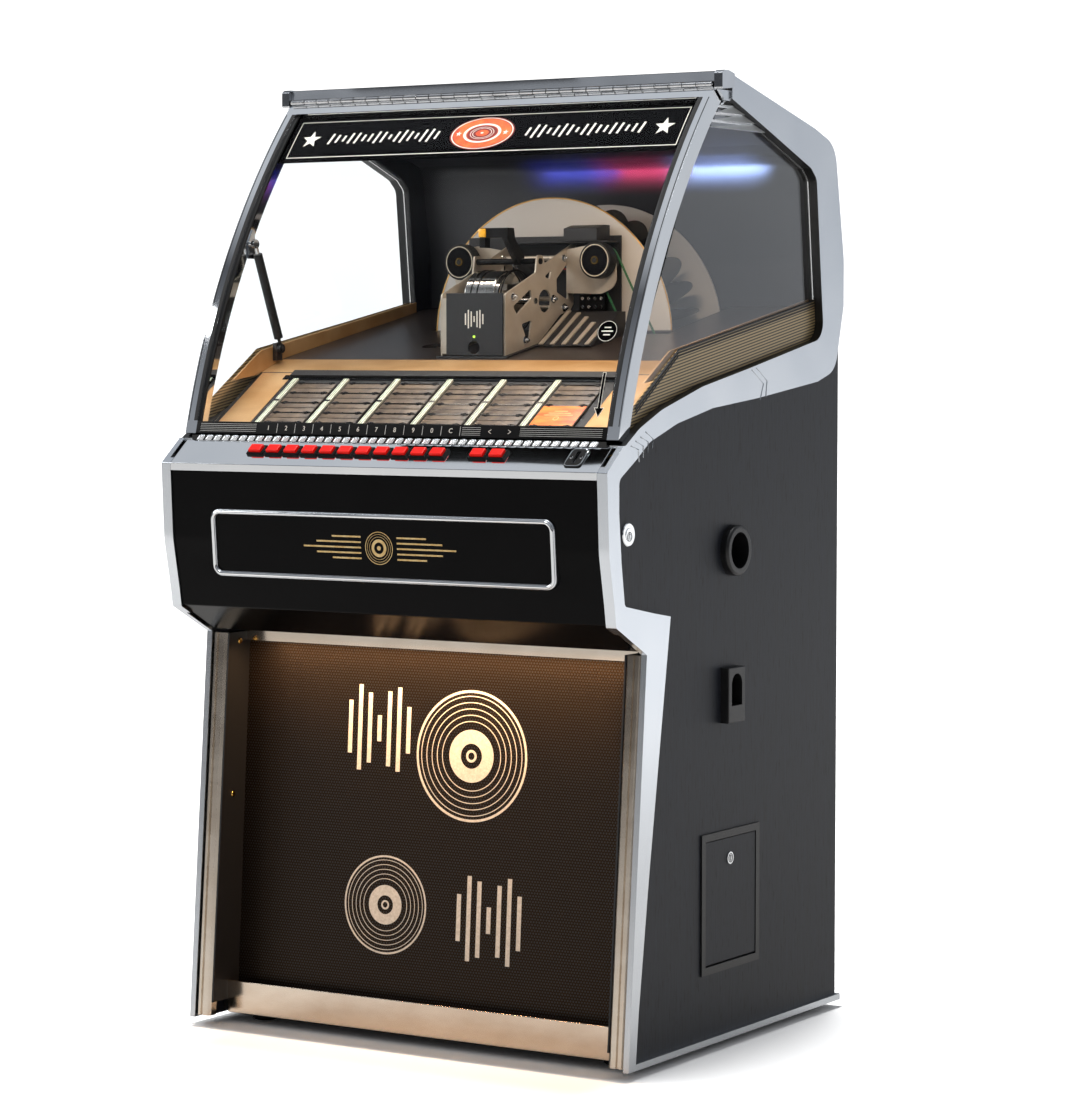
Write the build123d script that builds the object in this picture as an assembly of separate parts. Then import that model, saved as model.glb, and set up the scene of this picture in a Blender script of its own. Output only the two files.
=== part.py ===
from build123d import *
from math import atan2, cos, degrees, hypot, pi, radians, sin
import os

# Free-standing record player cabinet for 45 rpm singles.
# X runs to the right seen from the front, Y to the back, Z up from the lower edge
# of the cabinet. Everything is lifted by the feet when it is written.

# Cabinet
cabinet_width = 820.0        # over the ash side boards
side_thickness = 18.0
foot_height = 12.0
foot_radius = 22.0
foot_inset_x = 70.0
foot_front_y = -215.0
foot_back_y = 320.0
fit = 0.3                    # gap between parts that only meet face to face
base_thickness = 18.0
base_bottom = 8.0
back_thickness = 12.0
back_inset = 6.0
back_top = 1238.0
vent_slots = 12
vent_slot = (120.0, 6.0)
vent_x = 75.0
vent_pitch = 16.0
vent_low = 820.0

# Corners of the side view, as (y, z)
toe = (-318.0, 0.0)
heel = (-265.0, 634.0)
chin = (-356.0, 681.0)
jaw = (-361.0, 712.0)
waist = (-377.0, 792.0)
brow = (-383.0, 915.0)
shelf_back = (-337.0, 952.0)
roof_front = (-23.0, 1533.0)
roof_rear = (278.0, 1458.0)
shoulder = (350.0, 1434.0)
back_y = 383.0
back_bend = 1246.0
wood_back_top = 1190.0

# Window and visible wood in the side view, as (y, z) corners with their rounding radii
window_corners = [
    (-460.0, 953.0), (-340.0, 953.0), (-329.0, 954.0), (-288.0, 979.0), (-221.0, 1006.0),
    (-95.0, 1040.0), (54.0, 1067.0), (263.0, 1107.0), (312.0, 1116.0), (302.0, 1204.0),
    (289.0, 1330.0), (284.0, 1376.0), (264.0, 1393.0), (119.0, 1446.0), (-12.0, 1493.0),
    (-27.0, 1515.0), (-27.0, 1600.0), (-460.0, 1600.0)]
window_radii = [0, 0, 0, 90, 150, 150, 150, 0, 32, 0, 0, 18, 8, 0, 0, 0, 0, 0]
wood_corners = [
    (-296.0, 10.0), (-288.0, 86.0), (-258.0, 289.0), (-193.0, 688.0), (-243.0, 696.0),
    (-331.0, 712.0), (-341.0, 778.0), (-348.0, 852.0), (-348.0, 903.0), (-297.0, 932.0),
    (-259.0, 957.0), (-174.0, 984.0), (-62.0, 1006.0), (88.0, 1020.0), (291.0, 1044.0),
    (354.0, 1062.0), (386.0, 1180.0), (460.0, 1180.0), (460.0, 10.0)]
wood_radii = [0, 0, 0, 0, 0, 8, 60, 60, 14, 30, 60, 60, 90, 90, 60, 45, 0, 0, 0]

# Silver side moulding
trim_proud = 10.0
trim_lip = 18.0
trim_lip_depth = 10.0
trim_reveal = 4.0
board_inset = 20.0
cap_proud = 15.0             # end caps of the top bar stand this far off the boards

# Door, a curved frame hung from the top
door_radius = 1275.0
door_foot = (-333.0, 962.0)
door_head = (-41.0, 1506.0)
door_depth = 28.0
door_rail = 21.0
door_gap = 2.0
number_rail_height = 20.0
top_rail_height = 20.0
header_height = 99.0
header_thickness = 1.2
glass_thickness = 5.0
glass_setback = 8.0
hinge_y = -42.0
hinge_z = 1511.0
knuckle_radius = 4.0
hinge_pin_radius = 1.5
hinge_play = 0.06
knuckle_count = 32
hinge_leaf = 1.6

# Side glass and its lower band
pane_thickness = 4.0
pane_inset = 6.0             # outer face of the glass inside the ash board's face
band_thickness = 1.2

# Front of the lower cabinet
pilaster_width = 26.0
pilaster_gap = 3.0
pilaster_depth = 18.0
grille_low = (-241.0, 57.0)
grille_high = (-203.0, 631.0)
grille_thickness = 3.0
baffle_setback = 35.0
baffle_thickness = 18.0
cheek_thickness = 3.0
kick_front = -270.0
kick_height = 53.0
kick_low = 4.0
kick_thickness = 3.0
strip_height = 16.0
belly_skin = 15.0
woofer_radius = 150.0
woofer_height = 215.0
woofer_x = 185.0
squawker_radius = 82.0
squawker_height = 480.0

# Selector shelf and buttons
shelf_sheet = 3.0
shelf_side_gap = 23.0
button_pitch = 34.7
first_button_x = -245.5
button_seat = 33.0           # up the slope from the front edge
button_size = (23.0, 15.0)
button_rise = 9.0
button_travel = 3.0
button_stem = 12.0
button_play = 0.5
bezel_size = (31.0, 21.0)
bezel_rise = 4.5
bezel_depth = 8.0
bezel_body = (28.0, 19.0)
coin_inset = 49.7            # from the shelf's right end
coin_seat = 31.0
coin_plate = (30.0, 41.0, 2.0)
coin_slit = (3.4, 27.0)

# Nameplate on the belly
plate_size = (650.0, 109.0)
plate_centre = (-376.8, 788.5)
plate_lean = 4.7
plate_back = 8.0
plate_frame_width = 9.0
plate_depth = 4.0
plate_corner = 18.0
plate_bead = 3.5             # rounding of the frame's front edges

# Deck, rack and hood
deck_front = (-96.0, 1080.0)
deck_back = (336.0, 1167.5)
deck_thickness = 6.0
rack_low = (-300.0, 965.0)
rack_high = (-155.0, 1059.0)
rack_margin = 76.0           # bare tray at each end of the rack's head bar
rack_plate = 3.0
holder_columns = 6
holder_rows = 4
holder_pitch = 101.6
holder_first_x = -300.0
holder_size = (80.0, 27.0, 3.5)
separator_width = 10.0
lining_setback = 22.0
lining_sheet = 3.0
roof_sheet = 6.0
roof_setback = 3.0
sill_sheet = 3.0

# Mechanism
plate_left_x = -79.0
plate_right_x = 43.0
mech_plate = 3.0
mech_foot = 3.0
mech_front_y = -80.0
mech_cover_top = 1188.0
rod_radius = 4.0
turntable_y = 10.0
turntable_z = 1176.0
turntable_radius = 50.0
turntable_width = 58.0
platter_radius = 44.0
axle_radius = 5.0
axle_play = 0.05
magazine_x = -11.0
magazine_z = 1119.0
magazine_radius = 231.0
magazine_front_y = 152.0
disc_sheet = 3.0
record_radius = 87.5
record_thickness = 1.6
record_count = 30
record_play = 0.3
record_orbit = 136.0
hub_radius = 24.0
fin_height = 60.0
fin_sheet = 1.2
shaft_radius = 10.0
backboard_y = 138.0
guard_back = 112.0
backboard_sheet = 3.0
wheel_x = 133.0
wheel_z = 1243.0
wheel_radius = 30.0
wheel_width = 22.0
wheel_y = 82.0
wheel_axle = 4.0
bracket_y = 108.0
belt_width = 5.0
belt_sheet = 1.5
motor_pulley_x = 205.0
motor_pulley_z = 1075.0
pulley_radius = 22.0
gripper_y = 45.0
gripper_z = 1237.0
tonearm_y = 78.0
tonearm_z = 1205.0

# Gas strut
strut_gap = 15.0             # from the inner face of the left board
strut_foot = (-114.0, 1098.0)
strut_head = (-184.7, 1270.1)
strut_tube_radius = 7.5
strut_rod_radius = 3.5
strut_neck = 19.0
strut_neck_radius = 2.8
strut_tube_end = 168.0
strut_bore_depth = 146.0
strut_play = 0.05
strut_pin_radius = 3.0
strut_eye_radius = 7.5
strut_eye_width = 6.0

# Right-hand side fittings
cup_y = 20.5
cup_z = 779.0
cup_radius = 40.5
cup_bore = 29.0
cup_proud = 14.0
cup_depth = 30.0
cup_wall = 2.0
return_y = 10.0
return_z = 550.0
return_size = (54.0, 88.0)
return_proud = 15.0
return_depth = 40.0
return_arch = 17.0
cash_y = 14.5
cash_z = 222.0
cash_size = (189.0, 224.0)
cash_rim = 9.0
cash_door_sheet = 10.0
cash_door_gap = 1.5
cash_lip = 3.0
cash_pin_radius = 2.5
cash_hinge_z = cash_z - cash_size[1] / 2 + cash_rim + cash_lip + cash_door_gap + cash_pin_radius
cash_lock = (11.0, 288.0)
trim_lock = (-307.0, 819.0)
lock_radius = 10.0
lock_play = 0.1
escutcheon_radius = 18.0

half = cabinet_width / 2
inner = half - side_thickness
trim_face = half + trim_proud
door_half = half - fit
shelf_half = trim_face - trim_lip - fit
pane_outer = half - pane_inset
coin_x = shelf_half - coin_inset
strut_x = -(inner - strut_gap)
rack_half = inner - rack_margin
clear_above = roof_front[1] + 67.0
clear_below = roof_front[1] - 133.0


def yz_face(points, radii=0.0):
    """Closed outline of (y, z) points in the plane X = 0, with rounded corners."""
    if not isinstance(radii, (int, float)):
        radii = list(radii)
    outline = FilletPolyline(*points, radius=radii, close=True)
    return Plane.YZ * make_face(outline)


def board(points, left, right, radii=0.0):
    """Straight board with an outline in the YZ plane, from x = left to x = right."""
    return Pos(left, 0, 0) * extrude(yz_face(points, radii), right - left)


def pair(part):
    """A right-hand part and its mirror image on the left."""
    return [part, mirror(part, Plane.YZ)]


def block(x0, x1, y0, y1, z0, z1):
    return Pos(x0, y0, z0) * Box(x1 - x0, y1 - y0, z1 - z0, align=(Align.MIN,) * 3)


def rod_x(x0, x1, y, z, radius):
    spot = Plane(origin=(x0, y, z), x_dir=(0, 1, 0), z_dir=(1, 0, 0))
    return extrude(spot * Circle(radius), x1 - x0)


def rod_y(y0, y1, x, z, radius):
    spot = Plane(origin=(x, y0, z), x_dir=(0, 0, 1), z_dir=(0, 1, 0))
    return extrude(spot * Circle(radius), y1 - y0)


def largest(shape):
    return max(shape.solids(), key=lambda solid: solid.volume)


def save(name, *pieces):
    solids = []
    for piece in pieces:
        solids += (Pos(0, 0, foot_height) * piece).solids()
    export_step(Compound(children=solids) if len(solids) > 1 else solids[0],
                f"parts/{name}.step")


def between(low, high, z):
    """Y of the straight line from low to high at height z."""
    return low[0] + (high[0] - low[0]) * (z - low[1]) / (high[1] - low[1])


def deck_z(y):
    return deck_front[1] + (deck_back[1] - deck_front[1]) * (y - deck_front[0]) / (
        deck_back[0] - deck_front[0])


# Side outline, window and visible wood, as faces in the YZ plane

def side_outline():
    points = [toe, heel, chin, jaw, waist, brow, shelf_back, roof_front, roof_rear,
              shoulder, (back_y, back_bend), (back_y, 0)]
    return yz_face(points, [0, 0, 4, 0, 150, 3, 0, 3, 60, 50, 120, 0])


side = side_outline()
window = yz_face(window_corners, window_radii)
wood = yz_face(wood_corners, wood_radii)


def slab(face, left, right):
    return Pos(left, 0, 0) * extrude(face, right - left)


# Curved door

chord = hypot(door_head[0] - door_foot[0], door_head[1] - door_foot[1])
chord_up = ((door_head[0] - door_foot[0]) / chord, (door_head[1] - door_foot[1]) / chord)
rise_to_centre = (door_radius ** 2 - (chord / 2) ** 2) ** 0.5
arc_y = (door_foot[0] + door_head[0]) / 2 + chord_up[1] * rise_to_centre
arc_z = (door_foot[1] + door_head[1]) / 2 - chord_up[0] * rise_to_centre
arc_low = degrees(atan2(door_foot[1] - arc_z, door_foot[0] - arc_y))
arc_high = degrees(atan2(door_head[1] - arc_z, door_head[0] - arc_y))
degree_length = door_radius * pi / 180


def on_arc(setback, angle):
    reach = door_radius - setback
    return (arc_y + reach * cos(radians(angle)), arc_z + reach * sin(radians(angle)))


def sector(front, rear, low, high, left, right):
    """Curved bar between two depths behind the door's front and two arc angles."""
    middle = (low + high) / 2
    outline = [
        ThreePointArc(on_arc(front, low), on_arc(front, middle), on_arc(front, high)),
        Line(on_arc(front, high), on_arc(rear, high)),
        ThreePointArc(on_arc(rear, high), on_arc(rear, middle), on_arc(rear, low)),
        Line(on_arc(rear, low), on_arc(front, low)),
    ]
    return slab(Plane.YZ * make_face(outline), left, right)


rail_angle = arc_low - number_rail_height / degree_length
top_angle = arc_high + top_rail_height / degree_length
header_angle = top_angle + header_height / degree_length
door_opening = door_half - door_rail
door_zone = sector(-80, door_depth + door_gap, arc_low + 3.5 / degree_length,
                   arc_high - 1.2, -half - 60, half + 60)


# Cabinet shell

def side_board(right):
    body = slab(offset(side, -board_inset), inner, half)
    body += board([(-296, 2), (-290, 60), (0, wood_back_top), (back_y, wood_back_top),
                   (back_y, 2)], inner, half)
    body -= slab(offset(window, trim_reveal + fit), inner - 1, half + 1)
    body -= door_zone
    body -= block(inner - 1, half + 1, roof_front[0] - 60, 0, clear_below, clear_above)
    if right:
        body -= rod_x(inner - 1, half + 1, cup_y, cup_z, cup_bore + cup_wall + fit)
        body -= block(inner - 1, half + 1, return_y - return_arch - cup_wall - fit,
                      return_y + return_arch + cup_wall + fit,
                      return_z - return_arch - cup_wall - fit,
                      return_z + 2 * return_arch + cup_wall + fit)
        width, height = cash_size
        body -= block(inner - 1, half + 1, cash_y - width / 2 + cash_rim,
                      cash_y + width / 2 - cash_rim, cash_z - height / 2 + cash_rim,
                      cash_z + height / 2 - cash_rim)
        body -= rod_x(inner - 1, half + 1, *trim_lock, lock_radius + lock_play)
    return body


def side_trim():
    body = slab(side, half, trim_face)
    body -= slab(window, half - 1, trim_face + 1)
    body -= slab(wood, half - 1, trim_face + 1)
    body -= block(half - 1, trim_face + 1, -80, roof_front[0] + 20, clear_below,
                  clear_above)
    lip = slab(side, trim_face - trim_lip, half)
    lip -= slab(offset(side, -trim_lip_depth), half - trim_lip * 2, half + 1)
    lip &= block(half - trim_lip, trim_face, -400, -300, chin[1] - 12, brow[1] + 8)
    reveal = slab(offset(window, trim_reveal), inner, half) - slab(window, inner - 1, half + 1)
    reveal &= slab(offset(side, -1), inner, half)
    reveal -= block(inner - 1, half + 1, -460, shelf_back[0] + 4, 900, 970)
    reveal -= door_zone
    reveal -= block(inner - 1, half + 1, -80, roof_front[0] + 24, clear_below,
                    clear_above)
    return body + lip + reveal


def base_and_feet():
    floor = block(-inner + fit, inner - fit, kick_front + kick_thickness + 3,
                  back_y - back_inset - back_thickness, base_bottom,
                  base_bottom + base_thickness)
    feet = []
    for x in (-half + foot_inset_x, half - foot_inset_x):
        for y in (foot_front_y, foot_back_y):
            foot = Pos(x, y, -foot_height) * Cylinder(
                foot_radius, foot_height + base_bottom,
                align=(Align.CENTER, Align.CENTER, Align.MIN))
            feet.append(chamfer(foot.edges().group_by(Axis.Z)[0], 3))
    return floor, feet


def rear_shell():
    """Back board with its vents, and the bent roof sheet that meets it."""
    rear = back_y - back_inset
    back = block(-inner + fit, inner - fit, rear - back_thickness, rear,
                 base_bottom + base_thickness, back_top)
    for row in range(vent_slots):
        z = vent_low + row * vent_pitch
        slot = block(vent_x - vent_slot[0] / 2, vent_x + vent_slot[0] / 2, rear - 30, rear + 5,
                     z, z + vent_slot[1])
        for opening in pair(slot):
            back -= opening
    back -= block(inlet_x - 14, inlet_x + 14, rear - 30, rear + 5, inlet_z - 10, inlet_z + 10)
    roof = slab(offset(side, -roof_setback), -half + fit, half - fit)
    roof -= slab(offset(side, -roof_setback - roof_sheet), -half, half)
    roof &= block(-half, half, roof_front[0] + 20, back_y + 20, back_top + 1, clear_above)
    return back, roof


inlet_x = 250.0
inlet_z = 120.0


def hood_lining():
    sheet = slab(offset(side, -lining_setback), -inner + fit, inner - fit)
    sheet -= slab(offset(side, -lining_setback - lining_sheet), -half, half)
    low = deck_back[1] + 1
    sheet &= block(-half, half, 0, back_y + 20, low, clear_above)
    bearing_y = back_y - lining_setback
    boss = rod_y(magazine_rear_y() + 2, bearing_y, magazine_x, magazine_z, shaft_radius + 9)
    post = block(magazine_x - 22, magazine_x + 22, bearing_y - lining_sheet, bearing_y,
                 1060, low)
    boss -= rod_y(0, 400, magazine_x, magazine_z, shaft_radius + axle_play)
    post -= rod_y(0, 400, magazine_x, magazine_z, shaft_radius + axle_play)
    return sheet + boss + post


def top_bar():
    """Chrome bar over the door, its end caps, the corner louvres and the fixed hinge leaf."""
    bar = board([(-38, hinge_z + 5), (-36, 1531), (-23, 1533), (-3.5, 1528.5),
                 (-3.5, hinge_z + 5)], -half + fit, half - fit)
    cap = board([(-44, 1503), (-44, 1529), (-37, 1533), (-23, 1533), (-4, 1529), (-4, 1507)],
                half, half + cap_proud, [3, 4, 3, 3, 3, 3])
    louvre_low = 1444.0
    louvre_step = 12.0
    slats = None
    for step in range(4):
        z = louvre_low + step * louvre_step
        slat = Plane.XZ * make_face(Polyline(
            (pane_outer + fit, z), (half + 1, z), (half - 4, z + louvre_step),
            (pane_outer + fit, z + louvre_step), close=True))
        slat = Pos(0, 200, 0) * extrude(slat, 300)
        slats = slat if slats is None else slats + slat
    slats &= slab(offset(window, -0.5), inner, half + 2)
    slats -= door_zone
    leaf = block(-half + 2, half - 2, hinge_y, -12, hinge_z + 3, hinge_z + 5)
    fixed = hinge_half(leaf, 0)
    pin = rod_x(-half + 3, half - 3, hinge_y, hinge_z, hinge_pin_radius)
    return [bar, fixed + pin] + pair(cap) + pair(slats)


def hinge_half(leaf, turn):
    """A leaf with every second knuckle; the two halves take turns along the pin."""
    span = (cabinet_width - 8) / knuckle_count
    for index in range(knuckle_count):
        x = -half + 4 + index * span
        if index % 2 == turn:
            knuckle = rod_x(x + fit, x + span - fit, hinge_y, hinge_z, knuckle_radius)
            leaf += knuckle
        else:
            leaf -= rod_x(x - fit, x + span + fit, hinge_y, hinge_z, knuckle_radius + 0.8)
    bore = hinge_pin_radius if turn == 0 else hinge_pin_radius + hinge_play
    return leaf - rod_x(-half, half, hinge_y, hinge_z, bore)


def side_pane():
    pane = slab(offset(window, -fit), pane_outer - pane_thickness, pane_outer)
    pane &= slab(side, inner, half)
    return largest(pane - door_zone)


def window_band():
    strip = slab(offset(window, -0.5), pane_outer + fit, pane_outer + fit + band_thickness)
    strip &= board([(-340, 900), (-340, 980), (-284, 1010), (-147, 1098), (277, 1174),
                    (330, 1184), (330, 900)], inner, half)
    return largest(strip - door_zone)


def belly():
    outer = [(-379.5, 902.7), (-377, 853), (-373.5, 792), (-358, 712), (-353, 684),
             (-268, 639), (-206, 636)]
    inner_line = [(-206, 648), (-264, 652), (-340, 693), (-344, 714), (-358.5, 793),
                  (-362, 853), (-364.5, 902.7)]
    panel = board(outer + inner_line, -shelf_half, shelf_half,
                  [0, 0, 100, 0, 5, 6, 0, 0, 0, 0, 0, 0, 0, 0])
    notch = board([(-268, 600), (-268, 670), (-150, 670), (-150, 600)], inner - fit, half)
    for part in pair(notch):
        panel -= part
    panel -= plate_outline(plate_size, plate_corner, -plate_back, 60)
    return panel


def plate_plane():
    y, z = plate_centre
    return Plane(origin=(0, y, z), x_dir=(1, 0, 0),
                 z_dir=(0, -cos(radians(plate_lean)), sin(radians(-plate_lean))))


def plate_outline(size, corner, back, front):
    body = extrude(RectangleRounded(*size, corner), front - back)
    return plate_plane() * (Pos(0, 0, back) * body)


def nameplate():
    """Chrome frame let into the belly, with a plain black plate inside it."""
    width, height = plate_size
    window_size = (width - 2 * plate_frame_width, height - 2 * plate_frame_width)
    frame = Pos(0, 0, -plate_back) * extrude(
        RectangleRounded(width - fit, height - fit, plate_corner), plate_back)
    frame -= extrude(RectangleRounded(*window_size, plate_corner - plate_frame_width), 60,
                     both=True)
    frame = fillet(frame.edges().group_by(Axis.Z)[-1], plate_bead)
    frame = plate_plane() * frame
    plate = plate_outline((window_size[0] - fit, window_size[1] - fit),
                          plate_corner - plate_frame_width, -plate_back,
                          -plate_back + plate_depth)
    return frame, plate


# Selector shelf

slope = atan2(shelf_back[1] - brow[1], shelf_back[0] - brow[0])


def shelf_plane(x, seat):
    """Plane on the shelf's slope: local x along X, local y up the slope."""
    return Plane(origin=(x, brow[0] + seat * cos(slope), brow[1] + seat * sin(slope)),
                 x_dir=(1, 0, 0), z_dir=(0, -sin(slope), cos(slope)))


def on_shelf(x, seat, shape):
    return shelf_plane(x, seat) * shape


def button_places():
    places = [(f"button_{digit}", index) for index, digit in enumerate("1234567890")]
    places += [("button_clear", 10), ("button_left", 12.15), ("button_right", 13.15)]
    return [(name, first_button_x + index * button_pitch) for name, index in places]


def shelf():
    down = (sin(slope) * shelf_sheet, -cos(slope) * shelf_sheet)
    back = (shelf_back[0] - 1.5, shelf_back[1] - 1.2)
    plate = board([(-382.7, 903), brow, back, (back[0] + down[0], back[1] + down[1]),
                   (brow[0] + 3.6, brow[1] - 1.4), (-379.6, 903)],
                  -shelf_half, shelf_half)
    for _, x in button_places():
        plate -= on_shelf(x, button_seat, Box(bezel_body[0] + 2 * fit, bezel_body[1] + 2 * fit,
                                              30))
    plate -= on_shelf(coin_x, coin_seat, Box(*coin_slit, 30))
    return plate


def bezels_and_coin_plate():
    pieces = []
    for _, x in button_places():
        rim = Pos(0, 0, 0.05) * extrude(Rectangle(*bezel_size), bezel_rise)
        rim = chamfer(rim.edges().group_by(Axis.Z)[-1], 1)
        body = Pos(0, 0, -bezel_depth) * extrude(Rectangle(*bezel_body), bezel_depth + 1)
        well = Box(button_size[0] + 2 * button_play, button_size[1] + 2 * button_play, 60)
        pieces.append(on_shelf(x, button_seat, rim + body - well))
    width, length, thick = coin_plate
    plate = Pos(0, 0, 0.05) * extrude(RectangleRounded(width, length, 5), thick)
    plate -= Box(*coin_slit, 30)
    pieces.append(on_shelf(coin_x, coin_seat, plate))
    return pieces


def button(x):
    cap = Pos(0, 0, -button_stem) * extrude(Rectangle(*button_size), button_rise + button_stem)
    cap = fillet(cap.edges().group_by(Axis.Z)[-1], 1.2)
    return on_shelf(x, button_seat, cap)


def button_carrier():
    """Board under the shelf that the keys stop against, and the two posts that hold it."""
    low = first_button_x - 24
    high = first_button_x + 13.15 * button_pitch + 24
    depth = button_stem + button_travel + 1
    gap = 0.05
    plate = Pos((low + high) / 2, 0, -depth - 1) * Box(high - low, 24, 2)
    top = -shelf_sheet - 0.6
    height = top - gap + depth
    pieces = [on_shelf(0, button_seat, plate)]
    for x in (low + 4, high - 4):
        post = Pos(x, 0, top - height / 2) * Box(6, 24, height)
        pieces.append(on_shelf(0, button_seat, post))
    return pieces


def rib_strip():
    """Ribbed bright moulding between the shelf and the door."""
    start = (shelf_back[0] - 1, shelf_back[1] - 1)
    top = (start[0] - 0.5, start[1] + 8)
    bar = board([start, top, (top[0] + 12, top[1] - 2.5), (start[0] + 12, start[1] - 3)],
                -inner + fit, inner - fit)
    return bar


# Lower front

lean = (heel[0] - toe[0], heel[1] - toe[1])


def lower_front_line(z, behind=0.0):
    return between(toe, heel, z) + behind


def lower_chrome():
    """Two stepped pilasters, the kick plate and the strip over the grille."""
    x0 = half - pilaster_gap - pilaster_width
    low = kick_low
    y0 = lower_front_line(low, 1)
    section = [(0, 18), (0, 5), (5, 1), (14, 1), (15.5, 4), (18, 4), (19.5, 1), (24, 1),
               (26, 4), (26, 18)]
    face = Plane.XY.offset(low) * make_face(
        Polyline(*[(x0 + x, y0 + y * pilaster_depth / 18) for x, y in section], close=True))
    top = heel[1] - 2
    column = extrude(face, (top - low) * hypot(*lean) / lean[1], dir=(0, *lean))
    reach = x0 - cheek_thickness - fit
    kick = block(-reach, reach, kick_front, kick_front + kick_thickness, kick_low,
                 kick_low + kick_height)
    kick = fillet(kick.edges().filter_by(Axis.X).group_by(Axis.Y)[0], 1)
    z = grille_high[1] - strip_height + 2
    strip = board([(grille_front(z) - 8, z), (grille_front(z) - 8, z + strip_height),
                   (grille_front(z + strip_height) - fit, z + strip_height),
                   (grille_front(z) - fit, z)], -reach, reach)
    return pair(column) + [kick, strip]


def grille_front(z, behind=0.0):
    return between(grille_low, grille_high, z) + behind


def grille():
    reach = half - pilaster_gap - pilaster_width - cheek_thickness - fit
    low, high = 27.0, 635.0
    return board([(grille_front(low), low), (grille_front(high), high),
                  (grille_front(high, grille_thickness), high),
                  (grille_front(low, grille_thickness), low)], -reach, reach)


def baffle():
    """Loudspeaker board, the cheeks that frame the grille and the battens behind it."""
    low = base_bottom + base_thickness
    high = 635.0
    front = baffle_setback
    rear = front + baffle_thickness
    wall = board([(grille_front(low, front), low), (grille_front(high, front), high),
                  (grille_front(high, rear), high), (grille_front(low, rear), low)],
                 -inner + fit, inner - fit)
    for spot, radius in speaker_places():
        wall -= spot * Cylinder(radius * 0.87, 120)
    x1 = half - pilaster_gap - pilaster_width - fit
    x0 = x1 - cheek_thickness
    cheek = board([(lower_front_line(low, 5), low), (lower_front_line(heel[1] - 2, 5),
                                                    heel[1] - 2),
                   (grille_front(heel[1] - 2, front), heel[1] - 2),
                   (grille_front(low, front), low)], x0, x1)
    batten = board([(grille_front(low, grille_thickness + fit), low),
                    (grille_front(high, grille_thickness + fit), high),
                    (grille_front(high, front), high), (grille_front(low, front), low)],
                   x0 - 14, x0)
    return [wall] + pair(cheek) + pair(batten)


def speaker_places():
    tilt = atan2(grille_high[0] - grille_low[0], grille_high[1] - grille_low[1])
    places = []
    for height, radius in ((woofer_height, woofer_radius), (squawker_height, squawker_radius)):
        for x in (-woofer_x, woofer_x):
            spot = Plane(origin=(x, grille_front(height, baffle_setback), height),
                         x_dir=(1, 0, 0), z_dir=(0, -cos(tilt), sin(tilt)))
            places.append((spot, radius))
    return places


def loudspeakers():
    pieces = []
    for spot, radius in speaker_places():
        r = radius
        profile = [(0, -0.62 * r), (0.42 * r, -0.62 * r), (0.42 * r, -0.42 * r),
                   (0.5 * r, -0.42 * r), (0.84 * r, -1), (0.84 * r, 0.1), (r, 0.1), (r, 5),
                   (0.86 * r, 5), (0.8 * r, 8), (0.72 * r, 2), (0.2 * r, -0.3 * r),
                   (0, -0.2 * r)]
        body = revolve(Plane.XZ * make_face(Polyline(*profile, close=True)), Axis.Z)
        pieces.append(spot * body)
    return pieces


# Deck, title rack and sills

def deck():
    drop = deck_thickness
    body = board([deck_front, deck_back, (deck_back[0], deck_back[1] - drop),
                  (deck_front[0], deck_front[1] - drop)], -inner + fit, inner - fit)
    well = magazine_radius + 6
    body -= block(magazine_x - well, magazine_x + well, backboard_y + backboard_sheet + 4, 400,
                  1000, 1300)
    body -= block(magazine_x - 27, magazine_x + 27, backboard_y - 12, 160, 1000, 1300)
    hole_y = 17.0
    body -= Pos(-158, hole_y, deck_z(hole_y)) * Cylinder(20, 60)
    body -= block(motor_pulley_x - 70, motor_pulley_x + 30, 114, 136, 1000, 1300)
    rails = []
    for x in (-inner + fit, inner - fit - 16):
        rails.append(block(x, x + 16, deck_front[0] + 10, deck_back[0], 1040, 1300)
                     & board([(deck_front[0], deck_front[1] - drop - 18),
                              (deck_front[0], deck_front[1] - drop),
                              (deck_back[0], deck_back[1] - drop),
                              (deck_back[0], deck_back[1] - drop - 18)], -inner, inner))
    for rail in rails:
        body += rail
    return body


def rack_line(share, above=0.0):
    """Point up the rack's slope, share 0 at the foot and 1 at the head."""
    run = (rack_high[0] - rack_low[0], rack_high[1] - rack_low[1])
    size = hypot(*run)
    return (rack_low[0] + run[0] * share - run[1] / size * above,
            rack_low[1] + run[1] * share + run[0] / size * above)


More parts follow.
